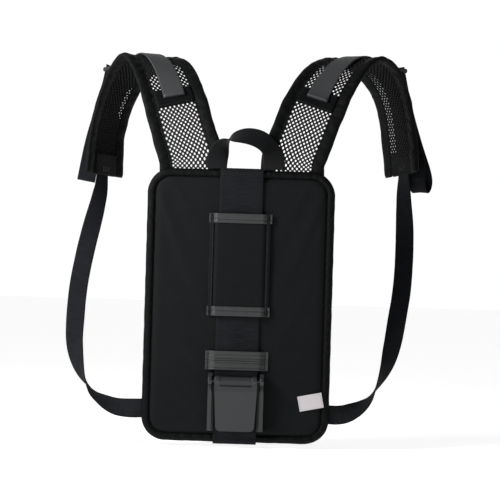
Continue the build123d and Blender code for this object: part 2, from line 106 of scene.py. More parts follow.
PAD_STATIONS = {
    "left": [
        ((-59, -4, 160.8), (-1, 0, 0)),
        ((-70, 3, 201), (-1, 0, -0.03)),
        ((-81.5, 17, 238), (-0.98, -0.12, -0.10)),
        ((-92.5, 36, 266.5), (-0.92, -0.28, -0.12)),
        ((-104.5, 54, 285), (-0.86, -0.46, -0.08)),
        ((-117, 73, 292), (-0.78, -0.62, 0)),
        ((-132, 92, 283), (-0.66, -0.74, 0.05)),
        ((-147.5, 106, 262.5), (-0.56, -0.82, 0.03)),
        ((-159, 114, 235), (-0.51, -0.86, 0)),
        ((-166.5, 118, 204), (-0.50, -0.86, 0)),
        ((-168.5, 118, 177), (-0.51, -0.86, 0)),
        ((-169, 117, 151), (-0.53, -0.84, 0)),
    ],
    "right": [
        ((58, -4, 160.8), (1, 0, 0)),
        ((70.5, 4, 204), (1, 0, 0)),
        ((84, 16, 239.5), (0.97, -0.12, -0.08)),
        ((99, 34, 268), (0.90, -0.32, -0.12)),
        ((116.5, 53, 288.5), (0.82, -0.52, -0.10)),
        ((135.5, 73, 296), (0.73, -0.67, 0)),
        ((154.5, 92, 288.5), (0.63, -0.77, 0.06)),
        ((171, 106, 270), (0.53, -0.84, 0.05)),
        ((182.5, 114, 243), (0.48, -0.87, 0.02)),
        ((189, 118, 210), (0.48, -0.87, 0)),
        ((192, 118, 183), (0.47, -0.87, -0.05)),
        ((194, 117, 162), (0.46, -0.88, -0.08)),
    ],
}
LOWER_STATIONS = {
    "left": [
        ((-171.5, 116, 143), (-0.60, -0.80, 0)),
        ((-174.5, 107, 118), (-0.75, -0.60, 0)),
        ((-180, 98, 91), (-0.92, -0.35, 0)),
        ((-186, 85, 59), (-1, -0.05, 0)),
        ((-191.5, 69, 19), (-1, 0, 0)),
        ((-193, 53, -19), (-1, 0.1, 0)),
        ((-191.5, 38, -52), (-0.88, 0.45, 0)),
        ((-183, 24, -80), (-0.55, 0.85, 0)),
        ((-169, 11, -102), (0, 1, 0.10)),
        ((-156, 3, -112), (0.10, 0.88, 0.45)),
        ((-140, -3, -119.5), (0.05, 0.60, 0.80)),
        ((-124, -6, -121.5), (0, 0.25, 0.97)),
        ((-107, -7, -121), (0, 0, 1)),
    ],
    "right": [
        ((196.5, 116, 152), (0.60, -0.80, 0)),
        ((197, 106, 124), (0.75, -0.60, 0)),
        ((198, 96, 93), (0.95, -0.30, 0)),
        ((197, 81, 56), (1, 0, 0)),
        ((194, 66, 21), (1, 0, 0)),
        ((188.5, 51, -11), (1, 0.1, 0)),
        ((182.5, 36, -42), (0.92, 0.38, 0)),
        ((174, 23, -70), (0.62, 0.78, 0)),
        ((160, 11, -97), (0.1, 1, 0.08)),
        ((148, 3, -110), (-0.10, 0.88, 0.45)),
        ((135, -3, -118), (-0.05, 0.60, 0.80)),
        ((122, -6, -122.5), (0, 0.25, 0.97)),
        ((107, -7, -122.5), (0, 0, 1)),
    ],
}
HANDLE_STATIONS = [
    ((-30, -11.4, 158.6), (-1, 0, 0)),
    ((-27, -12, 177), (-0.90, -0.42, 0.10)),
    ((-20, -13, 189), (-0.52, -0.85, -0.05)),
    ((-9, -14, 194.5), (-0.05, -0.85, -0.50)),
    ((7, -14, 196), (0, -0.62, -0.78)),
    ((22.5, -14, 191), (-0.25, -0.50, -0.83)),
    ((33.5, -14, 178.5), (-0.85, -0.45, -0.25)),
    ((37, -11.4, 158.6), (-1, 0, 0)),
]
TAIL_STATIONS = {
    "left": [
        ((-170, 123, 246), (-0.75, -0.66, 0)),
        ((-182.5, 124, 196), (-0.90, -0.42, 0)),
        ((-191.5, 124, 143.5), (-1, -0.10, 0)),
    ],
    "right": [
        ((195, 124, 250), (0.72, -0.69, 0)),
        ((207.5, 125, 205), (0.80, -0.60, 0)),
        ((220, 122, 166), (0.85, -0.50, 0)),
        ((222, 121, 151), (0.85, -0.50, 0)),
        ((218, 116, 142), (0.85, -0.50, 0)),
        ((213, 112, 149), (0.85, -0.50, 0)),
        ((212, 114.5, 168), (0.85, -0.50, 0)),
        ((212, 121, 184), (0.82, -0.56, 0)),
    ],
}

# How thick the sewn layers of a shoulder strap are, as heights above its middle.
MESH_LOW, MESH_HIGH = -0.2, 1.6
PATCH_LOW, PATCH_HIGH = 1.5, 3.0
OVERLAY_LOW, OVERLAY_HIGH = 3.1, 4.7
LOWER_LOW, LOWER_HIGH = 1.8, 3.3
END_PATCH_HIGH = 4.6

Run = namedtuple("Run", "place point across out along dist")


# ---- lines in space ----------------------------------------------------------
def unit(rows):
    return rows / np.linalg.norm(rows, axis=-1, keepdims=True)


def lengths(points):
    """Distance of each point along a line of points."""
    return np.concatenate([[0], np.cumsum(np.linalg.norm(np.diff(points, axis=0), axis=1))])


def square_to(wide, along):
    """Directions across a band, turned square to its length."""
    return unit(wide - along * (wide * along).sum(1, keepdims=True))


def catmull(rows, lead, trail, per):
    """Smooth curve through rows; lead and trail are the ghost rows at its ends."""
    ext = np.vstack([lead, rows, trail])
    n = len(rows)
    u = np.linspace(0, n - 1, (n - 1) * per + 1)
    i = np.minimum(u.astype(int), n - 2)
    t = (u - i)[:, None]
    a, b, c, d = ext[i], ext[i + 1], ext[i + 2], ext[i + 3]
    value = 0.5 * (2 * b + (c - a) * t + (2 * a - 5 * b + 4 * c - d) * t**2
                   + (3 * b - a - 3 * c + d) * t**3)
    slope = 0.5 * ((c - a) + 2 * (2 * a - 5 * b + 4 * c - d) * t
                   + 3 * (3 * b - a - 3 * c + d) * t**2)
    return u, value, slope


def run_of(stations, side, first=None, last=None):
    """The smooth frames of a band through its stations, in metres."""
    point = np.array([p for p, _ in stations], float) * MM
    across = np.array([a for _, a in stations], float)
    lead, trail = 2 * point[0] - point[1], 2 * point[-1] - point[-2]
    if first is not None:
        lead = point[1] - 2 * np.linalg.norm(point[1] - point[0]) * np.array(first, float)
    if last is not None:
        trail = point[-2] + 2 * np.linalg.norm(point[-1] - point[-2]) * np.array(last, float)
    place, points, slope = catmull(point, lead, trail, ROWS_PER_STATION)
    _, wide, _ = catmull(across, across[0], across[-1], ROWS_PER_STATION)
    along = unit(slope)
    wide = square_to(wide, along)
    return Run(place, points, wide, np.cross(wide, along) * side, along, lengths(points))


def dist_at(run, place):
    return float(np.interp(place, run.place, run.dist))


def frames_at(run, dist):
    """Points and unit directions of a run at the stated distances along it."""
    def column(rows):
        return np.stack([np.interp(dist, run.dist, rows[:, k]) for k in range(3)], -1)
    return (column(run.point), unit(column(run.across)), unit(column(run.out)),
            unit(column(run.along)))


def cut(run, start, end, step):
    """The part of a run between two places, resampled at about one step."""
    low, high = dist_at(run, start), dist_at(run, end)
    dist = np.linspace(low, high, max(int((high - low) / step) + 1, 4))
    point, across, out, along = frames_at(run, dist)
    return Run(np.interp(dist, run.dist, run.place), point, across, out, along, dist)


def free_run(points, across, side, per=12):
    """Frames through points with a direction across at each."""
    line, rows = np.array(points, float), np.array(across, float)
    _, fine, slope = catmull(line, 2 * line[0] - line[1], 2 * line[-1] - line[-2], per)
    _, wide, _ = catmull(rows, rows[0], rows[-1], per)
    along = unit(slope)
    wide, dist = square_to(wide, along), lengths(fine)
    return Run(dist, fine, wide, np.cross(wide, along) * side, along, dist)


def line_run(points, across, step, turn=1):
    """Frames along a list of points joined smoothly, with one direction across."""
    run = free_run(points, [across] * len(points), turn, per=24)
    return cut(run, 0, run.dist[-1], step)


def wobble(x, seed, wave, amount):
    """A smooth repeatable irregularity along x, in the unit of amount."""
    rng = np.random.default_rng(seed)
    total = np.zeros_like(x)
    for share in (1.0, 0.6, 0.37):
        total += share * np.sin(2 * np.pi * x / (wave * share) + rng.uniform(0, 2 * np.pi))
    return total * amount / 1.97


def creases(x, seed, gap, width):
    """Sharp folds at uneven places along x, from 0 on the flat to 1 in a fold."""
    rng = np.random.default_rng(seed)
    total, at = np.zeros_like(x), x[0]
    while at < x[-1]:
        at += gap * rng.uniform(0.45, 1.55)
        size = width * rng.uniform(0.7, 1.4)
        total += rng.uniform(0.4, 1.0) * np.exp(-((x - at) / size) ** 2)
    return np.minimum(total, 1)


# ---- meshes --------------------------------------------------------------------
def mesh_object(name, verts, faces, uvs=None, sharp=None):
    """A mesh object from arrays; uvs has one pair for each face corner."""
    mesh = bpy.data.meshes.new(name)
    mesh.from_pydata(np.asarray(verts, float).tolist(), [], [list(map(int, f)) for f in faces])
    if uvs is not None:
        layer = mesh.uv_layers.new(name="UVMap")
        layer.data.foreach_set("uv", np.asarray(uvs, np.float32).ravel())
    mesh.shade_smooth()
    if sharp is not None:
        mesh.set_sharp_from_angle(angle=math.radians(sharp))
    mesh.validate()
    obj = bpy.data.objects.new(name, mesh)
    bpy.context.scene.collection.objects.link(obj)
    return obj


def grid_faces(rows, columns, wrap):
    """Quads of a grid of points; wrap closes it across its columns."""
    r, c = np.meshgrid(np.arange(rows - 1), np.arange(columns if wrap else columns - 1),
                       indexing="ij")
    d = (c + 1) % columns
    return np.stack([r * columns + c, r * columns + d,
                     (r + 1) * columns + d, (r + 1) * columns + c], -1).reshape(-1, 4)


def sweep_arrays(run, section, closed=False):
    """Points, faces and UVs of a section swept along a run.

    section is (n, 2) or (rows, n, 2): sideways and outward distances in metres.
    """
    rows = len(run.dist)
    section = np.broadcast_to(section, (rows,) + np.shape(section)[-2:])
    n = section.shape[1]
    verts = (run.point[:, None] + run.across[:, None] * section[..., :1]
             + run.out[:, None] * section[..., 1:]).reshape(-1, 3)
    faces = grid_faces(rows, n, True)
    step = np.linalg.norm(np.roll(section[0], -1, 0) - section[0], axis=1)
    girth = np.concatenate([[0], np.cumsum(step)])
    c = np.tile(np.arange(n), rows - 1)
    r = np.repeat(np.arange(rows - 1), n)
    v0, v1 = run.dist[r], run.dist[r + 1]
    uv = np.stack([np.stack([girth[c], v0], -1), np.stack([girth[c + 1], v0], -1),
                   np.stack([girth[c + 1], v1], -1), np.stack([girth[c], v1], -1)], 1)
    uv = uv.reshape(-1, 2)
    faces = faces.tolist()
    if not closed:
        faces += [list(range(n))[::-1], [(rows - 1) * n + k for k in range(n)]]
        uv = np.vstack([uv, section[0][::-1], section[-1]])
    return verts, faces, uv


def join_arrays(parts):
    """Several (verts, faces, uvs) as one."""
    verts, faces, uvs, base = [], [], [], 0
    for v, f, uv in parts:
        verts.append(v)
        faces += [[base + k for k in face] for face in f]
        uvs.append(uv)
        base += len(v)
    return np.vstack(verts), faces, np.vstack(uvs)


def flat_section(width, low, high, count=14, arc=4):
    """A ring of points: a flat band with rounded edges, lying between two heights."""
    radius = (high - low) / 2
    half, middle = width / 2 - radius, (high + low) / 2
    top = [(x, middle + radius) for x in np.linspace(-half, half, count)]
    turn = np.linspace(math.pi / 2, -math.pi / 2, arc + 2)[1:-1]
    right = [(half + radius * math.cos(a), middle + radius * math.sin(a)) for a in turn]
    bottom = [(x, middle - radius) for x in np.linspace(half, -half, count)]
    left = [(-half - radius * math.cos(a), middle - radius * math.sin(a)) for a in turn]
    return np.array(top + right + bottom + left) * MM


def roll_section(width, height, power, count):
    """A rounded, slightly squared ring for a padded edge."""
    t = np.linspace(0, 2 * math.pi, count, endpoint=False)[::-1]
    c, s = np.cos(t), np.sin(t)
    a = np.sign(c) * np.abs(c) ** (2 / power) * width / 2
    b = np.sign(s) * np.abs(s) ** (2 / power) * height / 2
    return np.stack([a, b], -1) * MM


def repeated(base, run):
    """A section's ring, copied for every row of a run."""
    return np.repeat(base[None], len(run.dist), 0)


def ribbed(run, section, pitch, seed):
    """A band's section repeated along a run with woven ribs and a slight unevenness."""
    middle = section[:, 1].mean()
    lift = np.sign(section[:, 1] - middle) * RIB_RELIEF * MM
    rib = np.abs(np.sin(np.pi * run.dist / (pitch * MM)))[:, None]
    shape = repeated(section, run)
    shape[..., 1] += rib * lift[None] + wobble(run.dist, seed, 0.06, WEB_UNEVEN)[:, None]
    shape[..., 0] *= 1 + wobble(run.dist, seed + 1, 0.045, 0.006)[:, None]
    return shape


def webbing(name, run, width, low, high, pitch=1.25, seed=0):
    """Woven webbing along a run, between two heights above it, in millimetres."""
    fine = cut(run, run.place[0], run.place[-1], WEAVE_STEP)
    section = flat_section(width, low, high)
    return mesh_object(name, *sweep_arrays(fine, ribbed(fine, section, pitch, seed)), 40)


def finish_piece(obj, material, body=None, blend=None, nodes=()):
    """Gives a piece its material, what it moves with and what it stands for."""
    obj.data.materials.append(material)
    if blend is not None:
        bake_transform(obj)
    else:
        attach(obj, body)
    if nodes:
        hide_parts(*nodes)
    return obj


def dress(node, material):
    """Gives a carried-over CAD node its material."""
    part = frame["nodes"][node]
    part.data.materials.clear()
    part.data.materials.append(material)


# ---- stitches ------------------------------------------------------------------
def stitch_arrays(points, along, out, length=STITCH_LENGTH, thick=THREAD):
    """Short rounded threads lying along a seam, one at each point."""
    rings, sides = 5, 6
    t = np.linspace(-1, 1, rings)
    swell = np.sqrt(np.clip(1.05 - t**2, 0.05, 1))
    angle = np.linspace(0, 2 * math.pi, sides, endpoint=False)
    wide = unit(np.cross(along, out))
    ring = []
    for k in range(rings):
        centre = points + along * (t[k] * length / 2) + out * (swell[k] - 1) * thick * 0.35
        for a in angle:
            ring.append(centre + (wide * math.cos(a) + out * math.sin(a)) * thick / 2 * swell[k])
    verts = np.stack(ring, 1).reshape(-1, 3)
    one = np.vstack([grid_faces(rings, sides, True)])
    count, size = len(points), rings * sides
    faces = (one[None] + (np.arange(count) * size)[:, None, None]).reshape(-1, 4)
    face_list = faces.tolist()
    for k in range(count):
        face_list.append([k * size + j for j in range(sides)][::-1])
        face_list.append([k * size + (rings - 1) * sides + j for j in range(sides)])
    corners = len(faces) * 4 + count * 2 * sides
    uv = np.zeros((corners, 2))
    uv[:len(faces) * 4, 0] = np.tile([0, THREAD, THREAD, 0], len(faces))
    uv[:len(faces) * 4, 1] = np.tile([0, 0, length, length], len(faces))
    return verts, face_list, uv


def seam(run, aside, height, pitch=STITCH_PITCH, start=None, end=None, zigzag=0.0):
    """Stitches along a run, at a sideways offset and height above it, in metres."""
    low = run.dist[0] if start is None else start
    high = run.dist[-1] if end is None else end
    dist = np.arange(low + pitch / 2, high - pitch / 3, pitch)
    point, across, out, along = frames_at(run, dist)
    if zigzag:
        turn = np.where(np.arange(len(dist)) % 2 == 0, 1, -1)[:, None]
        along = unit(along + across * turn * zigzag)
    return stitch_arrays(point + across * aside + out * height, along, out)


def cross_seam(run, dist, half, height, pitch=STITCH_PITCH):
    """Stitches across a band at one distance along it."""
    point, across, out, _ = frames_at(run, np.array([dist]))
    aside = np.arange(-half + pitch / 2, half, pitch)[:, None]
    centres = point + across * aside + out * height
    return stitch_arrays(centres, np.repeat(across, len(aside), 0), np.repeat(out, len(aside), 0))


def bar_tacks(run, places, low, high, height):
    """Dense short stitching in narrow bars that run along a band."""
    parts = []
    for aside in places:
        dist = np.arange(low, high, TACK_PITCH)
        point, across, out, _ = frames_at(run, dist)
        centres = point + across * aside + out * height
        parts.append(stitch_arrays(centres, across, out, 1.8 * MM, 0.6 * MM))
    return join_arrays(parts)


def sew(name, rows, material, body=None, blend=None):
    """Rows of stitches as one piece."""
    finish_piece(mesh_object(name, *join_arrays(rows)), material, body, blend)


# ---- materials -------------------------------------------------------------------
class Graph:
    """Small helper to wire shader nodes."""

    def __init__(self, name):
        self.material = bpy.data.materials.new(name)
        self.material.use_nodes = True
        self.tree = self.material.node_tree
        self.shader = self.tree.nodes["Principled BSDF"]

    def node(self, kind, feeds=(), **props):
        made = self.tree.nodes.new(kind)
        for key, value in props.items():
            setattr(made, key, value)
        for key, value in dict(feeds).items():
            self.feed(made.inputs[key], value)
        return made

    def feed(self, socket, value):
        if isinstance(value, bpy.types.NodeSocket):
            self.tree.links.new(value, socket)
        else:
            socket.default_value = value

    def calc(self, operation, a, b=0.0, c=0.0):
        return self.node("ShaderNodeMath", {0: a, 1: b, 2: c}, operation=operation).outputs[0]

    def noise(self, scale, detail=3.0, rough=0.55, vector=None):
        feeds = {"Scale": scale, "Detail": detail, "Roughness": rough}
        if vector is None:
            vector = self.node("ShaderNodeTexCoord").outputs["Object"]
        feeds["Vector"] = vector
        return self.node("ShaderNodeTexNoise", feeds).outputs["Fac"]

    def uv(self):
        split = self.node("ShaderNodeSeparateXYZ",
                          {0: self.node("ShaderNodeUVMap", uv_map="UVMap").outputs[0]})
        return split.outputs[0], split.outputs[1]

    def mix(self, fac, a, b):
        made = self.node("ShaderNodeMix", data_type="RGBA")
        self.feed(made.inputs[0], fac)
        self.feed(made.inputs[6], a)
        self.feed(made.inputs[7], b)
        return made.outputs[2]

    def vary(self, value, amount, base=1.0):
        """base, raised and lowered as value goes above and below a half."""
        return self.calc("MULTIPLY_ADD", self.calc("SUBTRACT", value, 0.5), amount, base)

    def tinted(self, colour, shade):
        made = self.node("ShaderNodeVectorMath", {0: colour}, operation="SCALE")
        self.feed(made.inputs["Scale"], shade)
        return made.outputs[0]

    def bump(self, height, distance, strength=1.0, normal=None):
        feeds = {"Height": height, "Distance": distance, "Strength": strength}
        if normal is not None:
            feeds["Normal"] = normal
        return self.node("ShaderNodeBump", feeds).outputs[0]


def woven(name, colour, pitch, relief=0.12, rough=0.85, specular=0.12,
          mottle=0.35, dust=0.12, weave_shade=0.45, ribs=False):
    """Woven cloth: crossing threads from the UV map with painted shade between them, stray fibres,
    mottling and dust.

    pitch is the thread spacing across and along in millimetres.
    """
    g = Graph(name)
    u, v = g.uv()
    wave_u = g.calc("SINE", g.calc("MULTIPLY", u, math.pi / (pitch[0] * MM)))
    wave_v = g.calc("SINE", g.calc("MULTIPLY", v, math.pi / (pitch[1] * MM)))
    if ribs:
        weave = g.calc("ADD", g.calc("ABSOLUTE", wave_v),
                       g.calc("MULTIPLY", g.calc("ABSOLUTE", wave_u), 0.35))
        weave = g.calc("MULTIPLY", weave, 0.74)
    else:
        weave = g.calc("MULTIPLY_ADD", g.calc("MULTIPLY", wave_u, wave_v), 0.5, 0.5)
    fibre = g.noise(2600, 2.0)
    blotch = g.noise(28, 4.0, 0.6)
    streak = g.noise(210, 2.0)
    if ribs:
        # uneven weft threads, long across the band and short along it
        weft = g.node("ShaderNodeCombineXYZ", {0: g.calc("MULTIPLY", u, 60.0),
                                               1: g.calc("MULTIPLY", v, 900.0)}).outputs[0]
        streak = g.noise(1.0, 2.0, 0.5, weft)
    # painted shade: the colour darkens in the low gaps of the weave and lightens on the thread crests
    shade = g.vary(weave, weave_shade, 1.0)
    shade = g.vary(blotch, mottle, shade)
    shade = g.vary(streak, mottle * (1.6 if ribs else 0.6), shade)
    shade = g.vary(fibre, 0.5, shade)
    tint = g.tinted(colour, shade)
    worn = g.calc("MULTIPLY", g.calc("SUBTRACT", g.noise(60, 5.0, 0.7), 0.56), 5.0)
    worn = g.node("ShaderNodeClamp", {0: worn}).outputs[0]
    pale = tuple(min(c * 1.9 + 0.006, 1.0) for c in colour)
    mixed = g.mix(g.calc("MULTIPLY", worn, dust), tint, pale + (1.0,))
    g.feed(g.shader.inputs["Base Color"], mixed)
    g.feed(g.shader.inputs["Roughness"],
           g.vary(blotch, 0.2, rough))
    g.shader.inputs["Specular IOR Level"].default_value = specular
    normal = g.bump(weave, relief * MM)
    normal = g.bump(fibre, 0.05 * MM, 1.0, normal)
    g.feed(g.shader.inputs["Normal"], normal)
    return g.material


def moulded(name, colour, rough, specular=0.45, grain=0.03):
    """Moulded plastic: fine grain, faint flow marks and scuffs."""
    g = Graph(name)
    blotch, grit = g.noise(45, 4.0), g.noise(1500, 2.0)
    scuff = g.node("ShaderNodeClamp", {0: g.calc(
        "MULTIPLY", g.calc("SUBTRACT", g.noise(320, 6.0, 0.75), 0.62), 6.0)}).outputs[0]
    shade = g.vary(blotch, 0.25, 1.0)
    tint = g.tinted(colour, shade)
    pale = tuple(min(c * 1.8 + 0.01, 1.0) for c in colour)
    g.feed(g.shader.inputs["Base Color"],
           g.mix(g.calc("MULTIPLY", scuff, 0.35), tint, pale + (1.0,)))
    g.feed(g.shader.inputs["Roughness"],
           g.calc("MULTIPLY_ADD", blotch, 0.12, rough - 0.06))
    g.shader.inputs["Specular IOR Level"].default_value = specular
    g.feed(g.shader.inputs["Normal"], g.bump(grit, grain * MM))
    return g.material


def tape_material(name, colour):
    """Smooth coated tape with a fine grain and faint blotches."""
    g = Graph(name)
    grain = g.node("ShaderNodeTexVoronoi", {
        "Scale": 1300.0, "Vector": g.node("ShaderNodeTexCoord").outputs["Object"]}).outputs[0]
    blotch = g.noise(90, 4.0)
    shade = g.vary(blotch, 0.4, 1.0)
    shade = g.vary(grain, 0.3, shade)
    tint = g.tinted(colour, shade)
    g.feed(g.shader.inputs["Base Color"], tint)
    g.feed(g.shader.inputs["Roughness"], g.calc("MULTIPLY_ADD", blotch, 0.2, 0.42))
    g.shader.inputs["Specular IOR Level"].default_value = 0.3
    g.feed(g.shader.inputs["Normal"], g.bump(grain, 0.05 * MM))
    return g.material


def spacer_material(name, colour):
    """Thick knitted spacer mesh: rows of small round openings in a knit, with painted shade in the
    openings and the knit's grooves.
    """
    g = Graph(name)
    u, v = g.uv()
    cell = 3.2 * MM
    wave_u = g.calc("SINE", g.calc("MULTIPLY", u, 2 * math.pi / cell))
    wave_v = g.calc("SINE", g.calc("MULTIPLY", v, 2 * math.pi / cell))
    well = g.calc("MULTIPLY_ADD", g.calc("MULTIPLY", wave_u, wave_v), 0.5, 0.5)
    knit = g.calc("ABSOLUTE", g.calc("SINE", g.calc("MULTIPLY", v, math.pi / (0.7 * MM))))
    height = g.calc("MULTIPLY_ADD", knit, 0.25, well)
    # painted shade: the low openings and grooves get a darker colour, the raised knit a lighter one
    shade = g.calc("MULTIPLY_ADD", height, 0.75, 0.45)
    shade = g.vary(g.noise(30, 4.0), 0.4, shade)
    tint = g.tinted(colour, shade)
    g.feed(g.shader.inputs["Base Color"], tint)
    g.shader.inputs["Roughness"].default_value = 0.9
    g.shader.inputs["Specular IOR Level"].default_value = 0.1
    g.feed(g.shader.inputs["Normal"], g.bump(height, 0.5 * MM))
    return g.material


def make_materials():
    return {
        "face": woven("face_cloth", (0.0086, 0.0095, 0.0100), (0.55, 0.55), 0.05, rough=0.78,
                      specular=0.05, mottle=0.3),
        "binding": woven("binding_cloth", (0.0034, 0.0037, 0.0040), (0.7, 0.7), 0.08,
                         rough=0.62, specular=0.08, mottle=0.5, dust=0.2),
        "pad": woven("pad_cloth", (0.0040, 0.0044, 0.0047), (0.6, 0.6), 0.07,
                     rough=0.62, specular=0.07, mottle=0.5, dust=0.2),
        "webbing": woven("dark_webbing", (0.0100, 0.0106, 0.0124), (0.9, 1.25), 0.1,
                         specular=0.07, ribs=True, mottle=0.9),
        "satin": woven("satin_webbing", (0.043, 0.045, 0.047), (0.8, 1.0), 0.05, rough=0.6,
                       specular=0.3, ribs=True, mottle=0.15, weave_shade=0.3),
        "handle": woven("handle_webbing", (0.0078, 0.0083, 0.0090), (0.8, 1.0), 0.08, rough=0.6,
                        specular=0.12, ribs=True, mottle=0.4),
        "sleeve": woven("sleeve_cloth", (0.0082, 0.0090, 0.0095), (0.6, 0.6), 0.05, rough=0.8,
                        specular=0.06, mottle=0.25),
        "tape": tape_material("coated_tape", (0.036, 0.037, 0.038)),
        "label": woven("label_cloth", (0.60, 0.565, 0.58), (0.35, 0.35), 0.03, rough=0.7,
                       specular=0.2, mottle=0.06, weave_shade=0.08, dust=0.0),
        "thread": woven("dark_thread", (0.012, 0.0125, 0.013), (0.3, 0.5), 0.05, rough=0.6,
                        specular=0.25, mottle=0.2),
        "grey_thread": woven("grey_thread", (0.050, 0.052, 0.054), (0.3, 0.5), 0.05, rough=0.6,
                             specular=0.25, mottle=0.2),
        "label_thread": woven("label_thread", (0.45, 0.43, 0.44), (0.3, 0.5), 0.03,
                              rough=0.6, mottle=0.1, dust=0.0),
        "mesh": woven("net_cord", (0.0050, 0.0053, 0.0057), (0.5, 0.7), 0.12, rough=0.7,
                      specular=0.2, mottle=0.3),
        "spacer": spacer_material("spacer_mesh", (0.013, 0.0135, 0.0145)),
        "buckle": moulded("buckle_plastic", (0.024, 0.025, 0.0265), 0.42, 0.4),
        "lock": moulded("lock_plastic", (0.026, 0.027, 0.029), 0.36, 0.45),
        "steel": moulded("pin_steel", (0.020, 0.020, 0.021), 0.35, 0.5, 0.01),
        "foam": moulded("foam_cells", (0.05, 0.05, 0.052), 0.95, 0.05, 0.3),
        "board": moulded("board_sheet", (0.06, 0.055, 0.05), 0.7, 0.2, 0.05),
    }


# ---- back panel --------------------------------------------------------------------
def rounded_path(width, height, radius, step):
    """Points, outward directions and travel directions round a rounded rectangle in X, Z."""
    half_w, half_h = width / 2 - radius, height / 2 - radius
    arc = radius * math.pi / 2
    sides = [2 * half_h, 2 * half_w, 2 * half_h, 2 * half_w]
    corners = [(half_w, half_h), (-half_w, half_h), (-half_w, -half_h), (half_w, -half_h)]
    total = 4 * arc + sum(sides)
    count = int(total / step)
    points, outward = [], []
    for d in np.arange(count) * total / count:
        for k in range(4):
            a0 = math.pi / 2 * k
            normal = np.array([math.cos(a0), math.sin(a0)])
            travel = np.array([-math.sin(a0), math.cos(a0)])
            if d < sides[k]:
                cx, cz = corners[k]
                start = np.array([cx, cz]) + normal * radius - travel * sides[k]
                points.append(start + travel * d)
                outward.append(normal)
                break
            d -= sides[k]
            if d < arc:
                a = a0 + d / radius
                direction = np.array([math.cos(a), math.sin(a)])
                points.append(np.array(corners[k]) + direction * radius)
                outward.append(direction)
                break
            d -= arc
    return np.array(points), np.array(outward), total / count


def panel_ring(inset, y, step):
    """Frames round the panel at an inset from its edge, facing the front."""
    points, outward, gap = rounded_path(
        (PANEL_WIDTH - 2 * inset) * MM, (PANEL_HEIGHT - 2 * inset) * MM,
        (PANEL_CORNER - inset) * MM, step)
    n = len(points)
    spots = np.stack([points[:, 0], np.full(n, y * MM), points[:, 1]], -1)
    across = np.stack([outward[:, 0], np.zeros(n), outward[:, 1]], -1)
    out = np.tile([0.0, -1.0, 0.0], (n, 1))
    dist = np.arange(n) * gap
    return Run(dist, spots, across, out, np.cross(out, across), dist)


def closed_sweep(run, section):
    """A section swept round a closed ring."""
    rows, n = len(run.dist), section.shape[-2]
    gap = run.dist[1] - run.dist[0]
    loop = Run(*[np.concatenate([f, f[:1]]) for f in run[:5]],
               np.concatenate([run.dist, [run.dist[-1] + gap]]))
    section = np.broadcast_to(section, (rows,) + section.shape[-2:])
    section = np.concatenate([section, section[:1]])
    verts, faces, uv = sweep_arrays(loop, section, closed=True)
    faces = [[k % (rows * n) for k in face] for face in faces]
    return verts[:rows * n], faces, uv


def edge_binding(mats):
    """Padded cloth rolled over the panel's edge, stitched down in a groove."""
    middle = -0.3 - RIM_THICK / 2
    run = panel_ring(RIM_WIDTH / 2, middle, 1.6 * MM)
    base = roll_section(RIM_WIDTH + 0.6, RIM_THICK, 2.5, 40)
    section = repeated(base, run)
    a, b = base[:, 0] / MM, base[:, 1] / MM
    groove = np.exp(-((a + 3.0) / 1.1) ** 2) * (np.abs(b) > 3) * np.sign(b)
    section[..., 1] -= (groove * 2.6 * MM)[None]
    lean = np.clip(-a / 6, 0, 1) * np.sign(b) * 1.6 * MM
    section[..., 1] -= lean[None]
    pucker = (wobble(run.dist, 11, 0.021, 0.42) + wobble(run.dist, 12, 0.009, 0.30)) * MM
    weight = np.exp(-((a - 1.5) / 3.6) ** 2)
    folds = creases(run.dist, 15, 11 * MM, 1.8 * MM)
    section[..., 1] -= folds[:, None] * (np.exp(-((a + 0.5) / 3.2) ** 2) * np.sign(b))[None] * 1.3 * MM
    section[..., 1] += pucker[:, None] * (weight * np.sign(b))[None]
    section[..., 0] += (wobble(run.dist, 14, 0.034, 0.22) * MM)[:, None] * (a > 2)[None]
    obj = mesh_object("binding_roll", *closed_sweep(run, section))
    finish_piece(obj, mats["binding"], "panel", nodes=["edge_binding"])
    rings = []
    for y, sign in ((middle, 1), (middle, -1)):
        ring = panel_ring(RIM_WIDTH / 2 + 3.0, y, STITCH_PITCH)
        lift = sign * (RIM_THICK / 2 - 3.2) * MM
        rings.append(stitch_arrays(ring.point + ring.out * lift, ring.along, ring.out * sign))
    sew("binding_stitches", rings, mats["thread"], "panel")


def inner_mask(x, z, inset, radius):
    """How far inside the panel's inner outline a point is, in metres."""
    half_w = PANEL_WIDTH / 2 * MM - inset
    half_h = PANEL_HEIGHT / 2 * MM - inset
    qx, qz = np.abs(x) - half_w + radius, np.abs(z) - half_h + radius
    outside = np.hypot(np.maximum(qx, 0), np.maximum(qz, 0)) + np.minimum(np.maximum(qx, qz), 0)
    return radius - outside


def relax_cloth(obj, pinned):
    """Lets a pinned sheet settle as cloth and keeps the result."""
    group = obj.vertex_groups.new(name="held")
    group.add([int(k) for k in pinned], 1.0, "REPLACE")
    cloth = obj.modifiers.new("cloth", "CLOTH")
    settings = cloth.settings
    settings.quality = 6
    settings.mass = 0.2
    settings.tension_stiffness = 22
    settings.compression_stiffness = 18
    settings.shear_stiffness = 12
    settings.bending_stiffness = 1.6
    settings.shrink_min = -CLOTH_SLACK
    settings.use_pressure = True
    settings.uniform_pressure_force = CLOTH_PRESSURE
    settings.vertex_group_mass = "held"
    cloth.point_cache.frame_start, cloth.point_cache.frame_end = 1, CLOTH_FRAMES
    scene = bpy.context.scene
    for f in range(1, CLOTH_FRAMES + 1):
        scene.frame_set(f)
    shaped = obj.evaluated_get(bpy.context.evaluated_depsgraph_get())
    co = np.zeros(len(obj.data.vertices) * 3)
    shaped.data.vertices.foreach_get("co", co)
    obj.modifiers.clear()
    obj.vertex_groups.clear()
    scene.frame_set(1)
    obj.data.vertices.foreach_set("co", co)
    obj.data.update()
    return co.reshape(-1, 3)


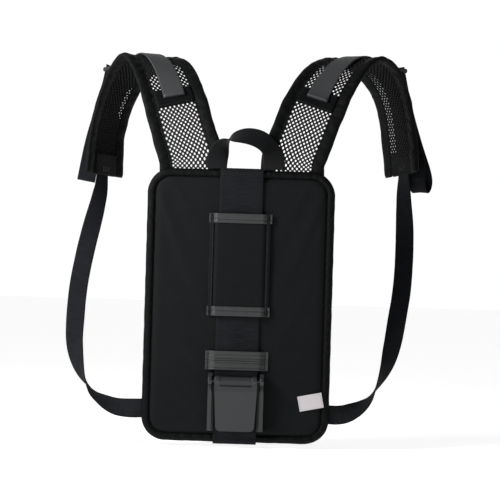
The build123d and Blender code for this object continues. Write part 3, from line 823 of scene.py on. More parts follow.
def cover_sheet(name, y_rim, y_crown, facing, step, seed):
    """A stretched cover: a fine grid over the inside of the panel, rolled off at its rim."""
    reach = (PANEL_WIDTH / 2 - RIM_WIDTH + 2.5) * MM
    tall = (PANEL_HEIGHT / 2 - RIM_WIDTH + 2.5) * MM
    xs = np.linspace(-reach, reach, int(2 * reach / step))
    zs = np.linspace(-tall, tall, int(2 * tall / step))
    x, z = np.meshgrid(xs, zs)
    inset, corner = (RIM_WIDTH - 2.5) * MM, (PANEL_CORNER - RIM_WIDTH + 2.5) * MM
    # square corners are drawn in to the rounded outline
    inside = inner_mask(x, z, inset, corner)
    for _ in range(12):
        over = np.minimum(inside, 0)
        gx = np.sign(x) * (np.abs(x) > reach - corner)
        gz = np.sign(z) * (np.abs(z) > tall - corner)
        x, z = x + over * gx * 0.7, z + over * gz * 0.7
        inside = inner_mask(x, z, inset, corner)
    rise = np.clip(inside / (7.5 * MM), 0, 1)
    roll = np.sqrt(np.clip(1 - (1 - rise) ** 2, 0, 1))
    y = y_rim + (y_crown - y_rim) * roll
    rng = np.random.default_rng(seed)
    y = y + rng.normal(0, 0.02, y.shape) * rise
    verts = np.stack([x, y * MM, z], -1).reshape(-1, 3)
    faces = grid_faces(len(zs), len(xs), False)
    if facing < 0:
        faces = faces[:, ::-1]
    flat = np.stack([x, z], -1).reshape(-1, 2)
    obj = mesh_object(name, verts, faces, flat[np.asarray(faces).ravel()])
    edge = np.where(inside.reshape(-1) < 3.2 * MM)[0]
    return obj, edge


def cover_piece(name, mats, key, node, facing, y_rim, y_crown, seed):
    """A cover that settles as cloth over the padding, with its own thickness."""
    obj, edge = cover_sheet(name, y_rim, y_crown, facing, COVER_STEP, seed)
    start = np.array([v.co for v in obj.data.vertices])
    moved = relax_cloth(obj, edge)
    # only part of the change in depth is kept, so that no diagonal folds show
    shift = np.clip(moved[:, 1] - start[:, 1], -CLOTH_REACH, CLOTH_REACH) * CLOTH_SHARE
    moved = np.stack([moved[:, 0], start[:, 1] + shift, moved[:, 2]], -1)
    obj.data.vertices.foreach_set("co", moved.ravel())
    obj.data.update()
    smooth = obj.modifiers.new("subdivide", "SUBSURF")
    smooth.levels = smooth.render_levels = 1
    thick = obj.modifiers.new("thickness", "SOLIDIFY")
    thick.thickness, thick.offset = COVER_THICK, -1
    finish_piece(obj, mats[key], "panel", nodes=[node])


def panel(mats):
    """Binding, both covers, and the foam and board between them."""
    edge_binding(mats)
    cover_piece("front_face", mats, "face", "front_cover", 1,
                -11.6, FRONT_Y + 0.2, 3)
    cover_piece("rear_cushion", mats, "spacer", "rear_cover", -1,
                -2.4, 0.9, 4)
    for node, key, slot in (("foam_core", "foam", "foam"), ("stiffener_board", "board", "board")):
        dress(node, mats[key])


# ---- webbing, sleeve and tapes on the front --------------------------------------------
def main_webbing(mats):
    """Down the front, over the clamp's base plate and tucked round the bottom edge."""
    y0, y1 = (WEB_BACK_Y - WEB_THICK / 2), (WEB_RAISED_Y - WEB_THICK / 2)
    line = [(-9.5, EDGE_Z - 0.2), (-12.4, EDGE_Z + 1.0), (y0, EDGE_Z - 3), (y0, EDGE_Z - 14),
            (y0, 60), (y0, 0), (y0, LOOP_TOP), (y1, BUCKLE_TOP + 3), (y1, BUCKLE_TOP - 20),
            (y1, BUCKLE_BOTTOM + 4), (y0, BUCKLE_BOTTOM - 7), (y0 + 0.8, -EDGE_Z + 1.5),
            (-11.5, -EDGE_Z - 1.3), (-5, -EDGE_Z - 1.2)]
    run = line_run([(0, y * MM, z * MM) for y, z in line], (1, 0, 0), WEAVE_STEP, turn=-1)
    obj = webbing("main_webbing_strap", run, WEB_WIDTH, -WEB_THICK / 2, WEB_THICK / 2,
                  pitch=1.3, seed=21)
    finish_piece(obj, mats["webbing"], "panel", nodes=["main_webbing"])
    rows = [cross_seam(run, d, WEB_WIDTH / 2 * MM - 1.5 * MM, (WEB_THICK / 2 + 0.1) * MM)
            for d in (8.5 * MM, 11 * MM)]
    sew("webbing_stitches", rows, mats["thread"], "panel")


def sleeve_profile(x):
    """Outward height of the sleeve's outer face over its width, in millimetres."""
    half = SLEEVE_WIDTH / 2
    rise = np.clip((half - 4 - np.abs(x)) / 5.5, 0, 1)
    return 1.3 + (abs(SLEEVE_FRONT_Y - WEB_BACK_Y) - 1.3) * (3 * rise**2 - 2 * rise**3)


def sleeve(mats):
    """The cloth tube over the webbing, with bound and stitched long edges."""
    top, bottom = SLEEVE_TOP - 0.5, SLEEVE_BOTTOM + 0.5
    points = [(0, WEB_BACK_Y * MM, z * MM) for z in np.linspace(top, bottom, 8)]
    run = line_run(points, (1, 0, 0), 1.5 * MM, turn=-1)
    half, thick = SLEEVE_WIDTH / 2 - 0.4, 0.9
    xs = np.linspace(-half, half, 44)
    outer = np.stack([xs, sleeve_profile(xs)], -1)
    inner = np.stack([xs[::-1], sleeve_profile(xs[::-1]) - thick], -1)
    ring = np.vstack([outer, inner]) * MM
    section = repeated(ring, run)
    flutter = wobble(run.dist, 31, 0.055, 0.30) * MM
    drape = np.cos(np.clip(ring[:, 0] / (half * MM), -1, 1) * math.pi / 2)
    section[..., 1] += flutter[:, None] * drape[None]
    obj = mesh_object("sleeve_cloth", *sweep_arrays(run, section), 50)
    finish_piece(obj, mats["sleeve"], "panel", nodes=["sleeve"])
    parts, rows = [], []
    for sign in (-1, 1):
        edge = Run(run.place, run.point + np.array([sign * (SLEEVE_WIDTH / 2 - 2.8) * MM, 0, 0]),
                   run.across, run.out, run.along, run.dist)
        shape = repeated(flat_section(5.4, 0.3, 2.9, 8, 6), run)
        shape[..., 1] += (wobble(run.dist, 33 + sign, 0.014, 0.16) * MM)[:, None]
        lean = sign * np.sin(math.radians(10)) * shape[..., 0]
        shape[..., 1] -= lean
        parts.append(sweep_arrays(edge, shape))
        rows.append(seam(edge, -sign * 1.1 * MM, 3.0 * MM, 2.6 * MM))
    binding = mesh_object("sleeve_edges", *join_arrays(parts), 50)
    finish_piece(binding, mats["sleeve"], "panel")
    sew("sleeve_stitches", rows, mats["grey_thread"], "panel")


def flat_tape(name, mats, node, z_top, height, profile, rows_at):
    """A sewn tape lying across the webbing, following a profile over its width."""
    half = TAPE_WIDTH / 2
    xs = np.concatenate([np.linspace(-half, -half + 12, 14), np.linspace(-half + 13, half - 13, 20),
                         np.linspace(half - 12, half, 14)])
    points = np.stack([xs * MM, -profile(xs) * MM, np.full(len(xs), (z_top - height / 2) * MM)], -1)
    dist = lengths(points)
    along = unit(np.gradient(points, axis=0))
    across = np.tile([0.0, 0.0, 1.0], (len(xs), 1))
    out = np.cross(across, along) * -1
    out *= np.sign(-out[:, 1:2])
    rough_run = Run(dist, points, across, out, along, dist)
    run = cut(rough_run, 0, dist[-1], 0.8 * MM)
    base = flat_section(height, 0, TAPE_THICK, 12, 3)
    shape = repeated(base, run)
    top = (base[:, 1] > TAPE_THICK * 0.6 * MM).astype(float)
    for row in rows_at:
        valley = np.exp(-((base[:, 0] - (row - 0.5) * height * MM) / (0.55 * MM)) ** 2)
        shape[..., 1] -= (valley * top * 0.7 * MM)[None]
    for edge in (3.6 * MM, dist[-1] - 3.6 * MM):
        dent = np.exp(-((run.dist - edge) / (0.7 * MM)) ** 2)
        shape[..., 1] -= dent[:, None] * (top * 0.75 * MM)[None]
    shape[..., 1] += (wobble(run.dist, int(abs(z_top)) + 5, 0.03, 0.10) * MM)[:, None]
    obj = mesh_object(name, *sweep_arrays(run, shape), 50)
    finish_piece(obj, mats["tape"], "panel", nodes=[node])
    up = (TAPE_THICK - 0.45) * MM
    rows = [seam(run, (row - 0.5) * height * MM, up, 2.6 * MM, 4.5 * MM, dist[-1] - 4.5 * MM)
            for row in rows_at]
    rows += [cross_seam(run, edge, (height / 2 - 0.8) * MM, up, 1.9 * MM)
             for edge in (3.6 * MM, dist[-1] - 3.6 * MM)]
    sew(name + "_stitches", rows, mats["thread"], "panel")


def tapes(mats):
    """Two tapes on the sleeve's ends and two over the clamp's loop."""
    def on_sleeve(x):
        return abs(WEB_BACK_Y) + sleeve_profile(np.clip(x, -35.4, 35.4)) + 0.15

    def over_loop(x):
        rise = np.clip((TAPE_WIDTH / 2 - 3 - np.abs(x)) / 8.0, 0, 1)
        low, high = abs(WEB_BACK_Y), abs(WEB_RAISED_Y) + WEB_THICK + 0.5
        return low + (high - low) * (3 * rise**2 - 2 * rise**3)

    flat_tape("sleeve_tape_upper", mats, "sleeve_top_tape", SLEEVE_TOP, TAPE_HEIGHT,
              on_sleeve, rows_at=(0.36,))
    flat_tape("sleeve_tape_lower", mats, "sleeve_bottom_tape", SLEEVE_BOTTOM + TAPE_HEIGHT,
              TAPE_HEIGHT, on_sleeve, rows_at=(0.55,))
    flat_tape("clamp_tape_upper", mats, "loop_upper_tape", LOOP_TOP, LOOP_TAPE_HEIGHT,
              over_loop, rows_at=(0.2, 0.66))
    flat_tape("clamp_tape_lower", mats, "loop_lower_tape", LOOP_TOP - LOOP_TAPE_HEIGHT - 0.3,
              LOOP_TAPE_HEIGHT, over_loop, rows_at=(0.24, 0.8))


def label(mats):
    """A small blank woven label with a turned-in edge and a stitched border."""
    turn = math.radians(LABEL_TURN)
    right = np.array([math.cos(turn), 0, math.sin(turn)])
    up = np.array([-math.sin(turn), 0, math.cos(turn)])
    centre = np.array([LABEL_AT[0], WEB_BACK_Y + 0.1, LABEL_AT[1]]) * MM
    width, height = LABEL_WIDTH * MM, LABEL_HEIGHT * MM
    ends = [centre - right * width / 2 + right * width * t for t in np.linspace(0, 1, 6)]
    run = line_run(ends, up, 0.7 * MM)
    run = run._replace(out=np.tile([0.0, -1.0, 0.0], (len(run.dist), 1)))
    base = flat_section(LABEL_HEIGHT, 0.0, 0.65, 16, 3)
    shape = repeated(base, run)
    bow = np.sin(np.linspace(0, math.pi, len(run.dist)))[:, None] * 0.18 * MM
    near = np.minimum(run.dist, run.dist[-1] - run.dist)
    valley = np.exp(-((near - 1.6 * MM) / (0.5 * MM)) ** 2)[:, None]
    shape[..., 1] += bow - valley * 0.15 * MM
    obj = mesh_object("blank_label", *sweep_arrays(run, shape), 50)
    finish_piece(obj, mats["label"], "panel", nodes=["label"])
    rows = [seam(run, sign * (height / 2 - 1.5 * MM), 0.62 * MM, 1.9 * MM, 1.6 * MM,
                 width - 1.6 * MM) for sign in (-1, 1)]
    rows += [cross_seam(run, d, height / 2 - 1.8 * MM, 0.55 * MM, 1.9 * MM)
             for d in (1.6 * MM, width - 1.6 * MM)]
    sew("label_stitches", rows, mats["label_thread"], "panel")


# ---- clamp buckle ------------------------------------------------------------------------
def buckle(mats):
    """The clamp's frame, lever and pin keep their CAD shape."""
    for node, key, slot in (("buckle_frame", "buckle", "buckle_plastic"),
                            ("buckle_lever", "buckle", "buckle_plastic"),
                            ("hinge_pin", "steel", "pin_steel")):
        dress(node, mats[key])


# ---- carry handle ------------------------------------------------------------------------
def handle(mats):
    """One loop of webbing out of the top seam, sewn down at both feet."""
    blend = ("panel", "handle", (0, -0.0114, 0.1595), (0, -0.0114, 0.171))
    run = run_of(HANDLE_STATIONS, 1, first=(0, 0, 1), last=(0, 0, -1))
    obj = webbing("handle_webbing", run, OVERLAY_WEB, -0.9, 0.9, pitch=1.2, seed=41)
    finish_piece(obj, mats["handle"], blend=blend, nodes=["handle", "handle_anchors"])
    rows = []
    for x, _, _ in (HANDLE_STATIONS[0][0], HANDLE_STATIONS[-1][0]):
        base = [((x + s * 12.5) * MM, -14.9 * MM, (EDGE_Z + 1.2) * MM) for s in np.linspace(-1, 1, 5)]
        line = line_run(base, (0, 0, 1), 1 * MM)
        line = line._replace(out=np.tile([0.0, -1.0, 0.0], (len(line.dist), 1)))
        rows.append(seam(line, 0, 0, 1.7 * MM, zigzag=0.9))
    sew("handle_stitches", rows, mats["thread"], "panel")


# ---- shoulder straps -----------------------------------------------------------------------
def strap_blend(side):
    return ("panel", f"{side}_strap", (0, 0, 0.159), (0, 0, 0.190))


def pad_run(side):
    """A pad's frames; below its first station it runs on down into the top seam."""
    run = run_of(PAD_STATIONS[side], SIDES[side], first=(0, 0, 1))
    back = np.linspace(1, 0, 8, endpoint=False)
    point = run.point[0] - run.along[0] * (back * SEAM_TUCK)[:, None]
    across, out, along = (np.vstack([np.tile(rows[0], (len(back), 1)), rows])
                          for rows in (run.across, run.out, run.along))
    return Run(np.concatenate([back * PAD_START, run.place]), np.vstack([point, run.point]),
               across, out, along,
               np.concatenate([SEAM_TUCK * (1 - back), run.dist + SEAM_TUCK]))


def end_taper(dist, radius):
    """Scale of a section near both ends, so that it closes in a rounded tip."""
    near = np.minimum(dist - dist[0], dist[-1] - dist)
    t = np.clip(1 - near / radius, 0, 1)
    return np.sqrt(np.clip(1 - t**2, 0.02, 1))


def strap_edges(side, mats):
    """Two bands of folded, padded cloth, stitched to the net along their inner edges."""
    run = cut(pad_run(side), PAD_START, PAD_END, BAND_STEP)
    parts, rows = [], []
    for k, sign in enumerate((-1, 1)):
        seed = 50 + 10 * k + (5 if side == "right" else 0)
        base = roll_section(EDGE_BAND, 6.6, 3.0, 36)
        a, b = base[:, 0] / MM * sign, base[:, 1] / MM
        # thick towards the outer edge, pinched where it is stitched near the net
        slim = 1 - 0.45 * np.clip((-a + 1.0) / 8.5, 0, 1)
        shape = repeated(base, run)
        shape[..., 1] *= slim[None]
        groove = np.exp(-((a + 5.0) / 0.8) ** 2) * np.sign(b) * 0.55 * MM
        shape[..., 1] -= groove[None]
        pucker = (wobble(run.dist, seed, 0.034, 0.8) + wobble(run.dist, seed + 1, 0.013, 0.42)) * MM
        body = np.exp(-((a - 1.5) / 4.5) ** 2)
        shape[..., 1] += pucker[:, None] * (body * np.sign(b))[None]
        for way in (1, -1):
            folds = creases(run.dist, seed + 6 + way, 15 * MM, 2.6 * MM)
            near = np.exp(-((a + 2.5) / 4.2) ** 2) * (b * way > 0) * way
            shape[..., 1] -= folds[:, None] * near[None] * 1.5 * MM
        ripple = wobble(run.dist, seed + 2, 0.05, 0.5) * MM
        shape[..., 0] += ripple[:, None] * (a > 3)[None] * sign
        shape[..., 1] += (wobble(run.dist, seed + 3, 0.07, 0.4) * MM)[:, None] * (a > 0)[None]
        taper = end_taper(run.dist, 5 * MM)
        shape[..., 1] *= np.where(np.arange(len(run.dist)) > 20, taper, 1)[:, None]
        shape[..., 0] += sign * (PAD_WIDTH - EDGE_BAND) / 2 * MM
        parts.append(sweep_arrays(run, shape))
        inner = sign * ((PAD_WIDTH / 2 - EDGE_BAND) + 2.5) * MM
        for up in (1, -1):
            rows.append(seam(run, inner, up * 1.75 * MM))
    obj = mesh_object(f"{side}_edge_bands", *join_arrays(parts), 60)
    finish_piece(obj, mats["pad"], blend=strap_blend(side),
                 nodes=[f"{side}_strap_edges", f"{side}_strap_anchor"])
    sew(f"{side}_edge_stitches", rows, mats["thread"], blend=strap_blend(side))


def net_arrays(run, width, seed, dist_share):
    """A net of cells set cornerwise, each with a rounded hole through it.

    dist_share is the share of its length over which the net hangs free.
    """
    length = run.dist[-1]
    columns, rows = int(width / 2 / NET_ACROSS) + 1, int(length / NET_ALONG) - 1
    centres = [(i * NET_ACROSS, (j + 1) * NET_ALONG)
               for j in range(rows) for i in range(-columns, columns + 1)
               if (i + j) % 2 == 0 and abs(i * NET_ACROSS) < width / 2 + NET_ACROSS * 0.3]
    centres = np.array(centres)
    angle = np.arange(8) * math.pi / 4
    corner = np.arange(8) % 2 == 0
    reach = np.where(corner, 1.0, 1 / math.sqrt(2))
    rim = np.stack([np.cos(angle) * reach * NET_ACROSS, np.sin(angle) * reach * NET_ALONG], -1)
    hole = np.stack([np.cos(angle) * HOLE_ACROSS, np.sin(angle) * HOLE_ALONG], -1)
    mid = rim * 0.55 + hole * 0.45
    rings = np.stack([rim, mid, hole])                    # 3, 8, 2
    flat = centres[:, None, None] + rings[None]           # cells, 3, 8, 2
    low, high = MESH_LOW * MM, MESH_HIGH * MM
    waist = (low + high) / 2
    swell = (high - low) / 2
    heights = np.array([0.45, 1.0, 0.5])                  # rounded cord between the holes
    a, s = flat[..., 0], np.clip(flat[..., 1], 0, length)
    point, across, out, _ = frames_at(run, s.ravel())
    # the net bags a little between the bands
    middle = np.cos(np.clip(a / (width / 2), -1, 1) * math.pi / 2)
    middle = middle * np.clip((dist_share - s / length) * 8, 0, 1)
    slack = middle * (wobble(s, seed, 0.075, 1.5 * MM)
                      + wobble(s * 0.7 + a, seed + 1, 0.04, 0.7 * MM))
    layers = []
    for sign in (1, -1):
        b = (waist + sign * swell * heights)[None, :, None] * np.ones_like(a)
        b = b + slack
        layers.append(point + across * a.ravel()[:, None] + out * b.ravel()[:, None])
    verts = np.vstack(layers)
    cells, size = len(centres), 24
    shift = cells * size
    faces, uv = [], []
    pairs = np.stack([a.ravel(), s.ravel()], -1)
    for c in range(cells):
        base = c * size
        for k in range(8):
            m = (k + 1) % 8
            for ring in (0, 1):
                quad = [base + ring * 8 + k, base + ring * 8 + m,
                        base + (ring + 1) * 8 + m, base + (ring + 1) * 8 + k]
                faces.append(quad)
                faces.append([shift + q for q in reversed(quad)])
            wall = [base + 16 + k, base + 16 + m, shift + base + 16 + m, shift + base + 16 + k]
            faces.append(wall)
    for face in faces:
        uv += [pairs[q % shift] for q in face]
    return verts, faces, np.array(uv)


def weld(obj, gap):
    """Joins a mesh's points that lie together."""
    made = bmesh.new()
    made.from_mesh(obj.data)
    bmesh.ops.remove_doubles(made, verts=made.verts, dist=gap)
    bmesh.ops.recalc_face_normals(made, faces=made.faces)
    made.to_mesh(obj.data)
    made.free()
    obj.data.shade_smooth()


def strap_net(side, mats):
    """The open net between the bands."""
    run = cut(pad_run(side), PAD_START, PAD_END, BAND_STEP)
    run = run._replace(dist=run.dist - run.dist[0])
    width = (PAD_WIDTH - 2 * EDGE_BAND + 5) * MM
    free = dist_at(run, BACKING_START) / run.dist[-1]
    obj = mesh_object(f"{side}_net", *net_arrays(run, width, 61 + SIDES[side], free))
    weld(obj, 0.02 * MM)
    finish_piece(obj, mats["mesh"], blend=strap_blend(side),
                 nodes=[f"{side}_strap_mesh"])


def strap_backing(side, mats):
    """Plain cloth over the net's outer face, from behind the lock down to the end patch."""
    run = cut(pad_run(side), BACKING_START, END_PATCH_START + 0.3, BAND_STEP)
    inner, outer = BACKING_REACH[side]
    base = flat_section(outer - inner, MESH_HIGH - 0.1, MESH_HIGH + 0.5, 24, 2)
    base[:, 0] += (inner + outer) / 2 * MM
    shape = repeated(base, run)
    closed = (run.place < OPEN_STRIP[side][0]) | (run.place > OPEN_STRIP[side][1])
    shape[..., 0] = np.where(closed[:, None] & (base[:, 0] < (inner + 0.6) * MM)[None],
                             shape[..., 0] - (inner + 24) * MM, shape[..., 0])
    shape[..., 1] += (wobble(run.dist, 85 + SIDES[side], 0.04, 0.25) * MM)[:, None]
    obj = mesh_object(f"{side}_net_backing", *sweep_arrays(run, shape), 50)
    finish_piece(obj, mats["pad"], body=f"{side}_strap")


def patch(name, run, width, low, high, crown=0.3, seed=0):
    """A doubled cloth patch with turned-in, slightly puffed edges."""
    base = flat_section(width, low, high, 20, 3)
    shape = repeated(base, run)
    middle = (low + high) / 2 * MM
    taper = end_taper(run.dist, 1.6 * MM)
    shape[..., 1] = middle + (shape[..., 1] - middle) * (0.4 + 0.6 * taper)[:, None]
    puff = np.cos(np.clip(base[:, 0] / (width / 2 * MM), -1, 1) * math.pi / 2) * crown * MM
    shape[..., 1] += puff[None] * (base[:, 1] > middle)[None]
    shape[..., 1] += (wobble(run.dist, seed, 0.012, 0.15) * MM)[:, None]
    return mesh_object(name, *sweep_arrays(run, shape), 50)


def cross_patch(side, mats):
    """The plain patch across the net, under the overlay's end."""
    run = cut(pad_run(side), PATCH_START, PATCH_END, PATCH_STEP)
    width = PAD_WIDTH - 2 * EDGE_BAND + 1.5
    obj = patch(f"{side}_crossing_patch", run, width, PATCH_LOW - 1.9, PATCH_HIGH, seed=71)
    finish_piece(obj, mats["pad"], blend=strap_blend(side),
                 nodes=[f"{side}_cross_patch"])
    half = (width / 2 - 2) * MM
    rows = [cross_seam(run, run.dist[0] + 2 * MM, half, (PATCH_HIGH + 0.15) * MM),
            cross_seam(run, run.dist[-1] - 2 * MM, half, (PATCH_HIGH + 0.15) * MM)]
    sew(f"{side}_crossing_stitches", rows, mats["thread"], blend=strap_blend(side))


def end_patch(side, mats):
    """The patch over the lower webbing at the pad's end, with four bar tacks."""
    run = cut(pad_run(side), END_PATCH_START, PAD_END, PATCH_STEP)
    width = PAD_WIDTH - 2 * EDGE_BAND + 2
    # the left pad's patch wraps both faces; the right one's lies on the outer face only
    low_face = -2.6 if side == "left" else MESH_LOW + 0.6
    obj = patch(f"{side}_pad_end", run, width, low_face, END_PATCH_HIGH, 0.5, seed=75)
    finish_piece(obj, mats["pad"], body=f"{side}_strap", nodes=[f"{side}_end_patch"])
    places = [k * 3.6 * MM for k in (-1.5, -0.5, 0.5, 1.5)]
    low, high = run.dist[-1] - 10 * MM, run.dist[-1] - 4 * MM
    both = [bar_tacks(run, places, low, high, (END_PATCH_HIGH + 0.35) * MM),
            bar_tacks(run, places, low, high, low_face * MM),
            cross_seam(run, run.dist[0] + 2 * MM, (width / 2 - 2) * MM, (END_PATCH_HIGH + 0.2) * MM)]
    sew(f"{side}_bar_tacks", both, mats["grey_thread"], body=f"{side}_strap")


# ---- ladder locks and the webbing through them --------------------------------------------------
def lock_frame(side):
    """Fixed bar's centre, across, along (out to the grip bar) and outward normal."""
    run = pad_run(side)
    _, across, out, _ = (f[0] for f in frames_at(run, np.array([dist_at(run, LOCK_STATION)])))
    joint = next(j for j in frame["joints"] if j["name"] == f"{side}_lock_tilt")
    grip = next(j for j in frame["joints"] if j["name"] == f"{side}_tail_swing")
    origin = np.array(joint["pos_m"])
    along = unit(np.array(grip["pos_m"]) - origin)
    wide = unit(np.array(joint["axis"], float))
    wide = wide * np.sign(wide @ across)
    normal = np.cross(wide, along)
    normal = normal * np.sign(normal @ out)
    return origin, wide, along, normal


def arc_points(centre, radius, start, end, first, second, count=9):
    """Points on an arc; angles run from first towards second."""
    return [centre + radius * (first * math.cos(a) + second * math.sin(a))
            for a in np.linspace(start, end, count)]


def overlay(side, mats):
    """Smooth webbing over the shoulder; its end goes round the lock's fixed bar."""
    run = pad_run(side)
    height = (OVERLAY_LOW + OVERLAY_HIGH) / 2 * MM
    dists = np.linspace(dist_at(run, OVERLAY_START), dist_at(run, OVERLAY_END), 22)
    point, across, out, _ = frames_at(run, dists)
    origin, wide, _, _ = lock_frame(side)
    _, _, out_l, down = (f[0] for f in frames_at(run, np.array([dist_at(run, LOCK_STATION)])))
    radius = (LOCK_BAR_RADIUS + 1.0) * MM
    wrap = arc_points(origin, radius, math.pi / 2, -math.pi / 2, down, out_l, 7)
    tuck_in = [origin - out_l * radius - down * 7 * MM, origin - out_l * radius * 1.2 - down * 13 * MM]
    lifted = np.clip(1 - (dists - dists[0]) / (16 * MM), 0, 1) ** 2 * 1.7 * MM
    line = np.vstack([point + out * (height + lifted)[:, None], wrap, tuck_in])
    rows = np.vstack([across, np.tile(wide, (len(wrap) + 2, 1))])
    path = free_run(line, rows, SIDES[side], per=10)
    half = (OVERLAY_HIGH - OVERLAY_LOW) / 2
    obj = webbing(f"{side}_overlay_webbing", path, OVERLAY_WEB, -half, half, 1.1, seed=81)
    finish_piece(obj, mats["satin"], body=f"{side}_strap",
                 nodes=[f"{side}_overlay"])
    lip = cut(path, 0, 4.4 * MM, 0.3 * MM)
    fold = patch(f"{side}_overlay_fold", lip, OVERLAY_WEB + 0.6, -half - 1.5, half + 1.2, 0.3, 82)
    finish_piece(fold, mats["satin"], body=f"{side}_strap")
    rows = [cross_seam(path, d, (OVERLAY_WEB / 2 - 1.2) * MM, (half + 0.05) * MM)
            for d in (3.4 * MM, 6.0 * MM)]
    rows += [seam(path, s * (OVERLAY_WEB / 2 - 1.7) * MM, (half + 0.03) * MM, start=6 * MM,
                  end=dist_at(run, OVERLAY_END) - dists[0]) for s in (-1, 1)]
    sew(f"{side}_overlay_stitches", rows, mats["grey_thread"],
        body=f"{side}_strap")


def ladder_lock(side, mats):
    dress(f"{side}_ladder_lock", mats["lock"])


def lock_feed(side, mats):
    """The webbing from the pad up through the lock: over its middle bar to the grip bar."""
    run = pad_run(side)
    origin, wide, along, normal = lock_frame(side)
    starts = np.array([dist_at(run, LOWER_START) + 26 * MM, dist_at(run, LOWER_START) + 8 * MM,
                       dist_at(run, LOWER_START) - 6 * MM])
    point, across, out, _ = frames_at(run, starts)
    lift = np.array([4.4, 4.6, 5.4])[:, None] * MM
    laid = point + out * lift
    middle = origin + along * LOCK_LENGTH / 2 * MM
    grip = origin + along * LOCK_LENGTH * MM
    radius = (LOCK_BAR_RADIUS + 1.0) * MM
    up = arc_points(middle, radius, math.pi, 0, along, normal, 7)
    grip_radius = (LOCK_GRIP_RADIUS + 0.9) * MM
    under = [grip - normal * grip_radius - along * 3.0 * MM, grip - normal * grip_radius]
    through = [origin + along * 7.5 * MM - normal * 4.5 * MM]
    line = np.vstack([laid, through, up, [origin + along * 16.5 * MM - normal * 1.8 * MM], under])
    rows = np.vstack([across, np.tile(wide, (len(line) - 3, 1))])
    path = free_run(line, rows, SIDES[side])
    obj = webbing(f"{side}_lock_feed", path, SLIM_WEB, -0.65, 0.65, 1.2, seed=91)
    blend = (f"{side}_strap", f"{side}_lock", tuple(point[0] + out[0] * 4 * MM),
             tuple(origin + along * 8 * MM))
    finish_piece(obj, mats["webbing"], blend=blend)


def lower_webbing(side, mats):
    """From under the ladder lock, down the pad, free to the panel's side seam."""
    pad = pad_run(side)
    height = (LOWER_LOW + LOWER_HIGH) / 2 * MM
    dists = np.linspace(dist_at(pad, LOWER_START), dist_at(pad, PAD_END), 12)
    point, across, out, _ = frames_at(pad, dists)
    free = run_of(LOWER_STATIONS[side], SIDES[side], first=(0, 0, -1), last=(-SIDES[side], 0, 0))
    steps = np.linspace(8 * MM, free.dist[-1], 34)
    far, wide, _, _ = frames_at(free, steps)
    path = free_run(np.vstack([point + out * height, far]), np.vstack([across, wide]),
                    SIDES[side], per=10)
    obj = webbing(f"{side}_lower_strap", path, SLIM_WEB, -0.75, 0.75, 1.2, seed=95)
    blend = ("panel", f"{side}_strap", (0, 0, -0.11), (0, 0, 0.14))
    finish_piece(obj, mats["webbing"], blend=blend,
                 nodes=[f"{side}_lower_webbing", f"{side}_lower_anchor"])
    end = path.dist[-1]
    rows = [seam(path, s * 7.5 * MM, 0.82 * MM, start=end - 14 * MM, end=end - 4 * MM) for s in (-1, 1)]
    rows += [cross_seam(path, end - d * MM, 8 * MM, 0.82 * MM) for d in (4.5, 13.5)]
    sew(f"{side}_side_stitches", rows, mats["thread"], "panel")


def tail(side, mats):
    """The free end of the webbing, from round the grip bar down."""
    origin, wide, along, normal = lock_frame(side)
    grip = origin + along * LOCK_LENGTH * MM
    radius = (LOCK_GRIP_RADIUS + 0.9) * MM
    wrap = arc_points(grip, radius, math.radians(-100), math.radians(40), along, normal, 8)
    stations = TAIL_STATIONS[side]
    line = np.vstack([wrap, np.array([p for p, _ in stations]) * MM])
    rows = np.vstack([np.tile(wide, (len(wrap), 1)), np.array([a for _, a in stations], float)])
    path = free_run(line, rows, SIDES[side], per=14)
    obj = webbing(f"{side}_webbing_tail", path, SLIM_WEB, -0.75, 0.75, 1.2, seed=97)
    finish_piece(obj, mats["webbing"], body=f"{side}_tail", nodes=[f"{side}_tail"])
    end = path.dist[-1]
    rows = [cross_seam(path, end - d * MM, 9 * MM, face * 0.85 * MM)
            for face in (1, -1) for d in (3, 12)]
    sew(f"{side}_tail_stitches", rows, mats["thread"], f"{side}_tail")


def straps(mats):
    for side in SIDES:
        strap_edges(side, mats)
        strap_net(side, mats)
        strap_backing(side, mats)
        cross_patch(side, mats)
        end_patch(side, mats)
        overlay(side, mats)
        ladder_lock(side, mats)
        lock_feed(side, mats)
        lower_webbing(side, mats)
        tail(side, mats)


# ---- camera, light and floor ------------------------------------------------------------------
def camera():
    data = bpy.data.cameras.new("camera")
    data.lens, data.sensor_width = CAMERA_LENS, 36
    data.dof.use_dof = False
    obj = bpy.data.objects.new("camera", data)
    obj.location = CAMERA_AT
    obj.rotation_euler = (math.radians(90), math.radians(CAMERA_ROLL), 0)
    bpy.context.scene.collection.objects.link(obj)
    bpy.context.scene.camera = obj


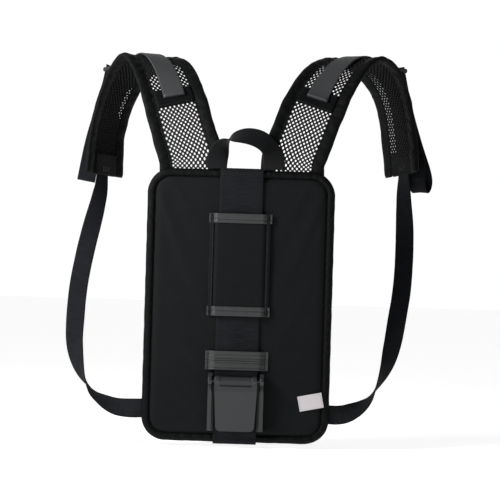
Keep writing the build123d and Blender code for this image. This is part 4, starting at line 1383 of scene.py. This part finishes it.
def area_light(name, at, aim, size, power):
    data = bpy.data.lights.new(name, "AREA")
    data.shape, data.size, data.energy = "SQUARE", size, power
    obj = bpy.data.objects.new(name, data)
    obj.location = at
    direction = np.array(aim, float) - np.array(at, float)
    yaw = math.atan2(direction[1], direction[0]) - math.pi / 2
    pitch = math.atan2(direction[2], math.hypot(direction[0], direction[1])) + math.pi / 2
    obj.rotation_euler = (pitch, 0, yaw)
    bpy.context.scene.collection.objects.link(obj)


def studio():
    scene = bpy.context.scene
    scene.view_settings.view_transform = "Standard"
    world = bpy.data.worlds.new("studio")
    scene.world = world
    world.use_nodes = True
    tree = world.node_tree
    # a white sweep behind the object fading to a dimmer room in front of it
    split = tree.nodes.new("ShaderNodeSeparateXYZ")
    fade = tree.nodes.new("ShaderNodeMapRange")
    for socket, value in (("From Min", FADE_FRONT), ("From Max", FADE_BACK),
                          ("To Min", ROOM_LIGHT), ("To Max", SWEEP_LIGHT)):
        fade.inputs[socket].default_value = value
    tree.links.new(tree.nodes.new("ShaderNodeTexCoord").outputs["Generated"], split.inputs[0])
    tree.links.new(split.outputs[1], fade.inputs["Value"])
    # the camera sees it white everywhere; only its light on the object fades
    seen = tree.nodes.new("ShaderNodeLightPath").outputs["Is Camera Ray"]
    strength = tree.nodes.new("ShaderNodeMath")
    strength.operation = "MAXIMUM"
    tree.links.new(fade.outputs[0], strength.inputs[0])
    tree.links.new(seen, strength.inputs[1])
    background = tree.nodes["Background"]
    background.inputs[0].default_value = (1, 1, 1, 1)
    tree.links.new(strength.outputs[0], background.inputs[1])
    area_light("key", KEY_AT, KEY_AIM, KEY_SIZE, KEY_POWER)


def floor():
    g = Graph("floor_paint")
    g.feed(g.shader.inputs["Base Color"], (0.93, 0.93, 0.93, 1))
    g.shader.inputs["Roughness"].default_value = 0.9
    g.shader.inputs["Emission Color"].default_value = (1, 1, 1, 1)
    g.shader.inputs["Emission Strength"].default_value = FLOOR_GLOW
    level = (-EDGE_Z - 6) * MM
    verts = [(x * FLOOR_REACH, y * FLOOR_REACH, level)
             for x, y in ((-1, -1), (1, -1), (1, 1), (-1, 1))]
    obj = mesh_object("studio_floor", verts, [[0, 1, 2, 3]])
    obj.data.materials.append(g.material)


camera()
studio()
floor()
materials = make_materials()
panel(materials)
main_webbing(materials)
sleeve(materials)
tapes(materials)
label(materials)
buckle(materials)
handle(materials)
straps(materials)
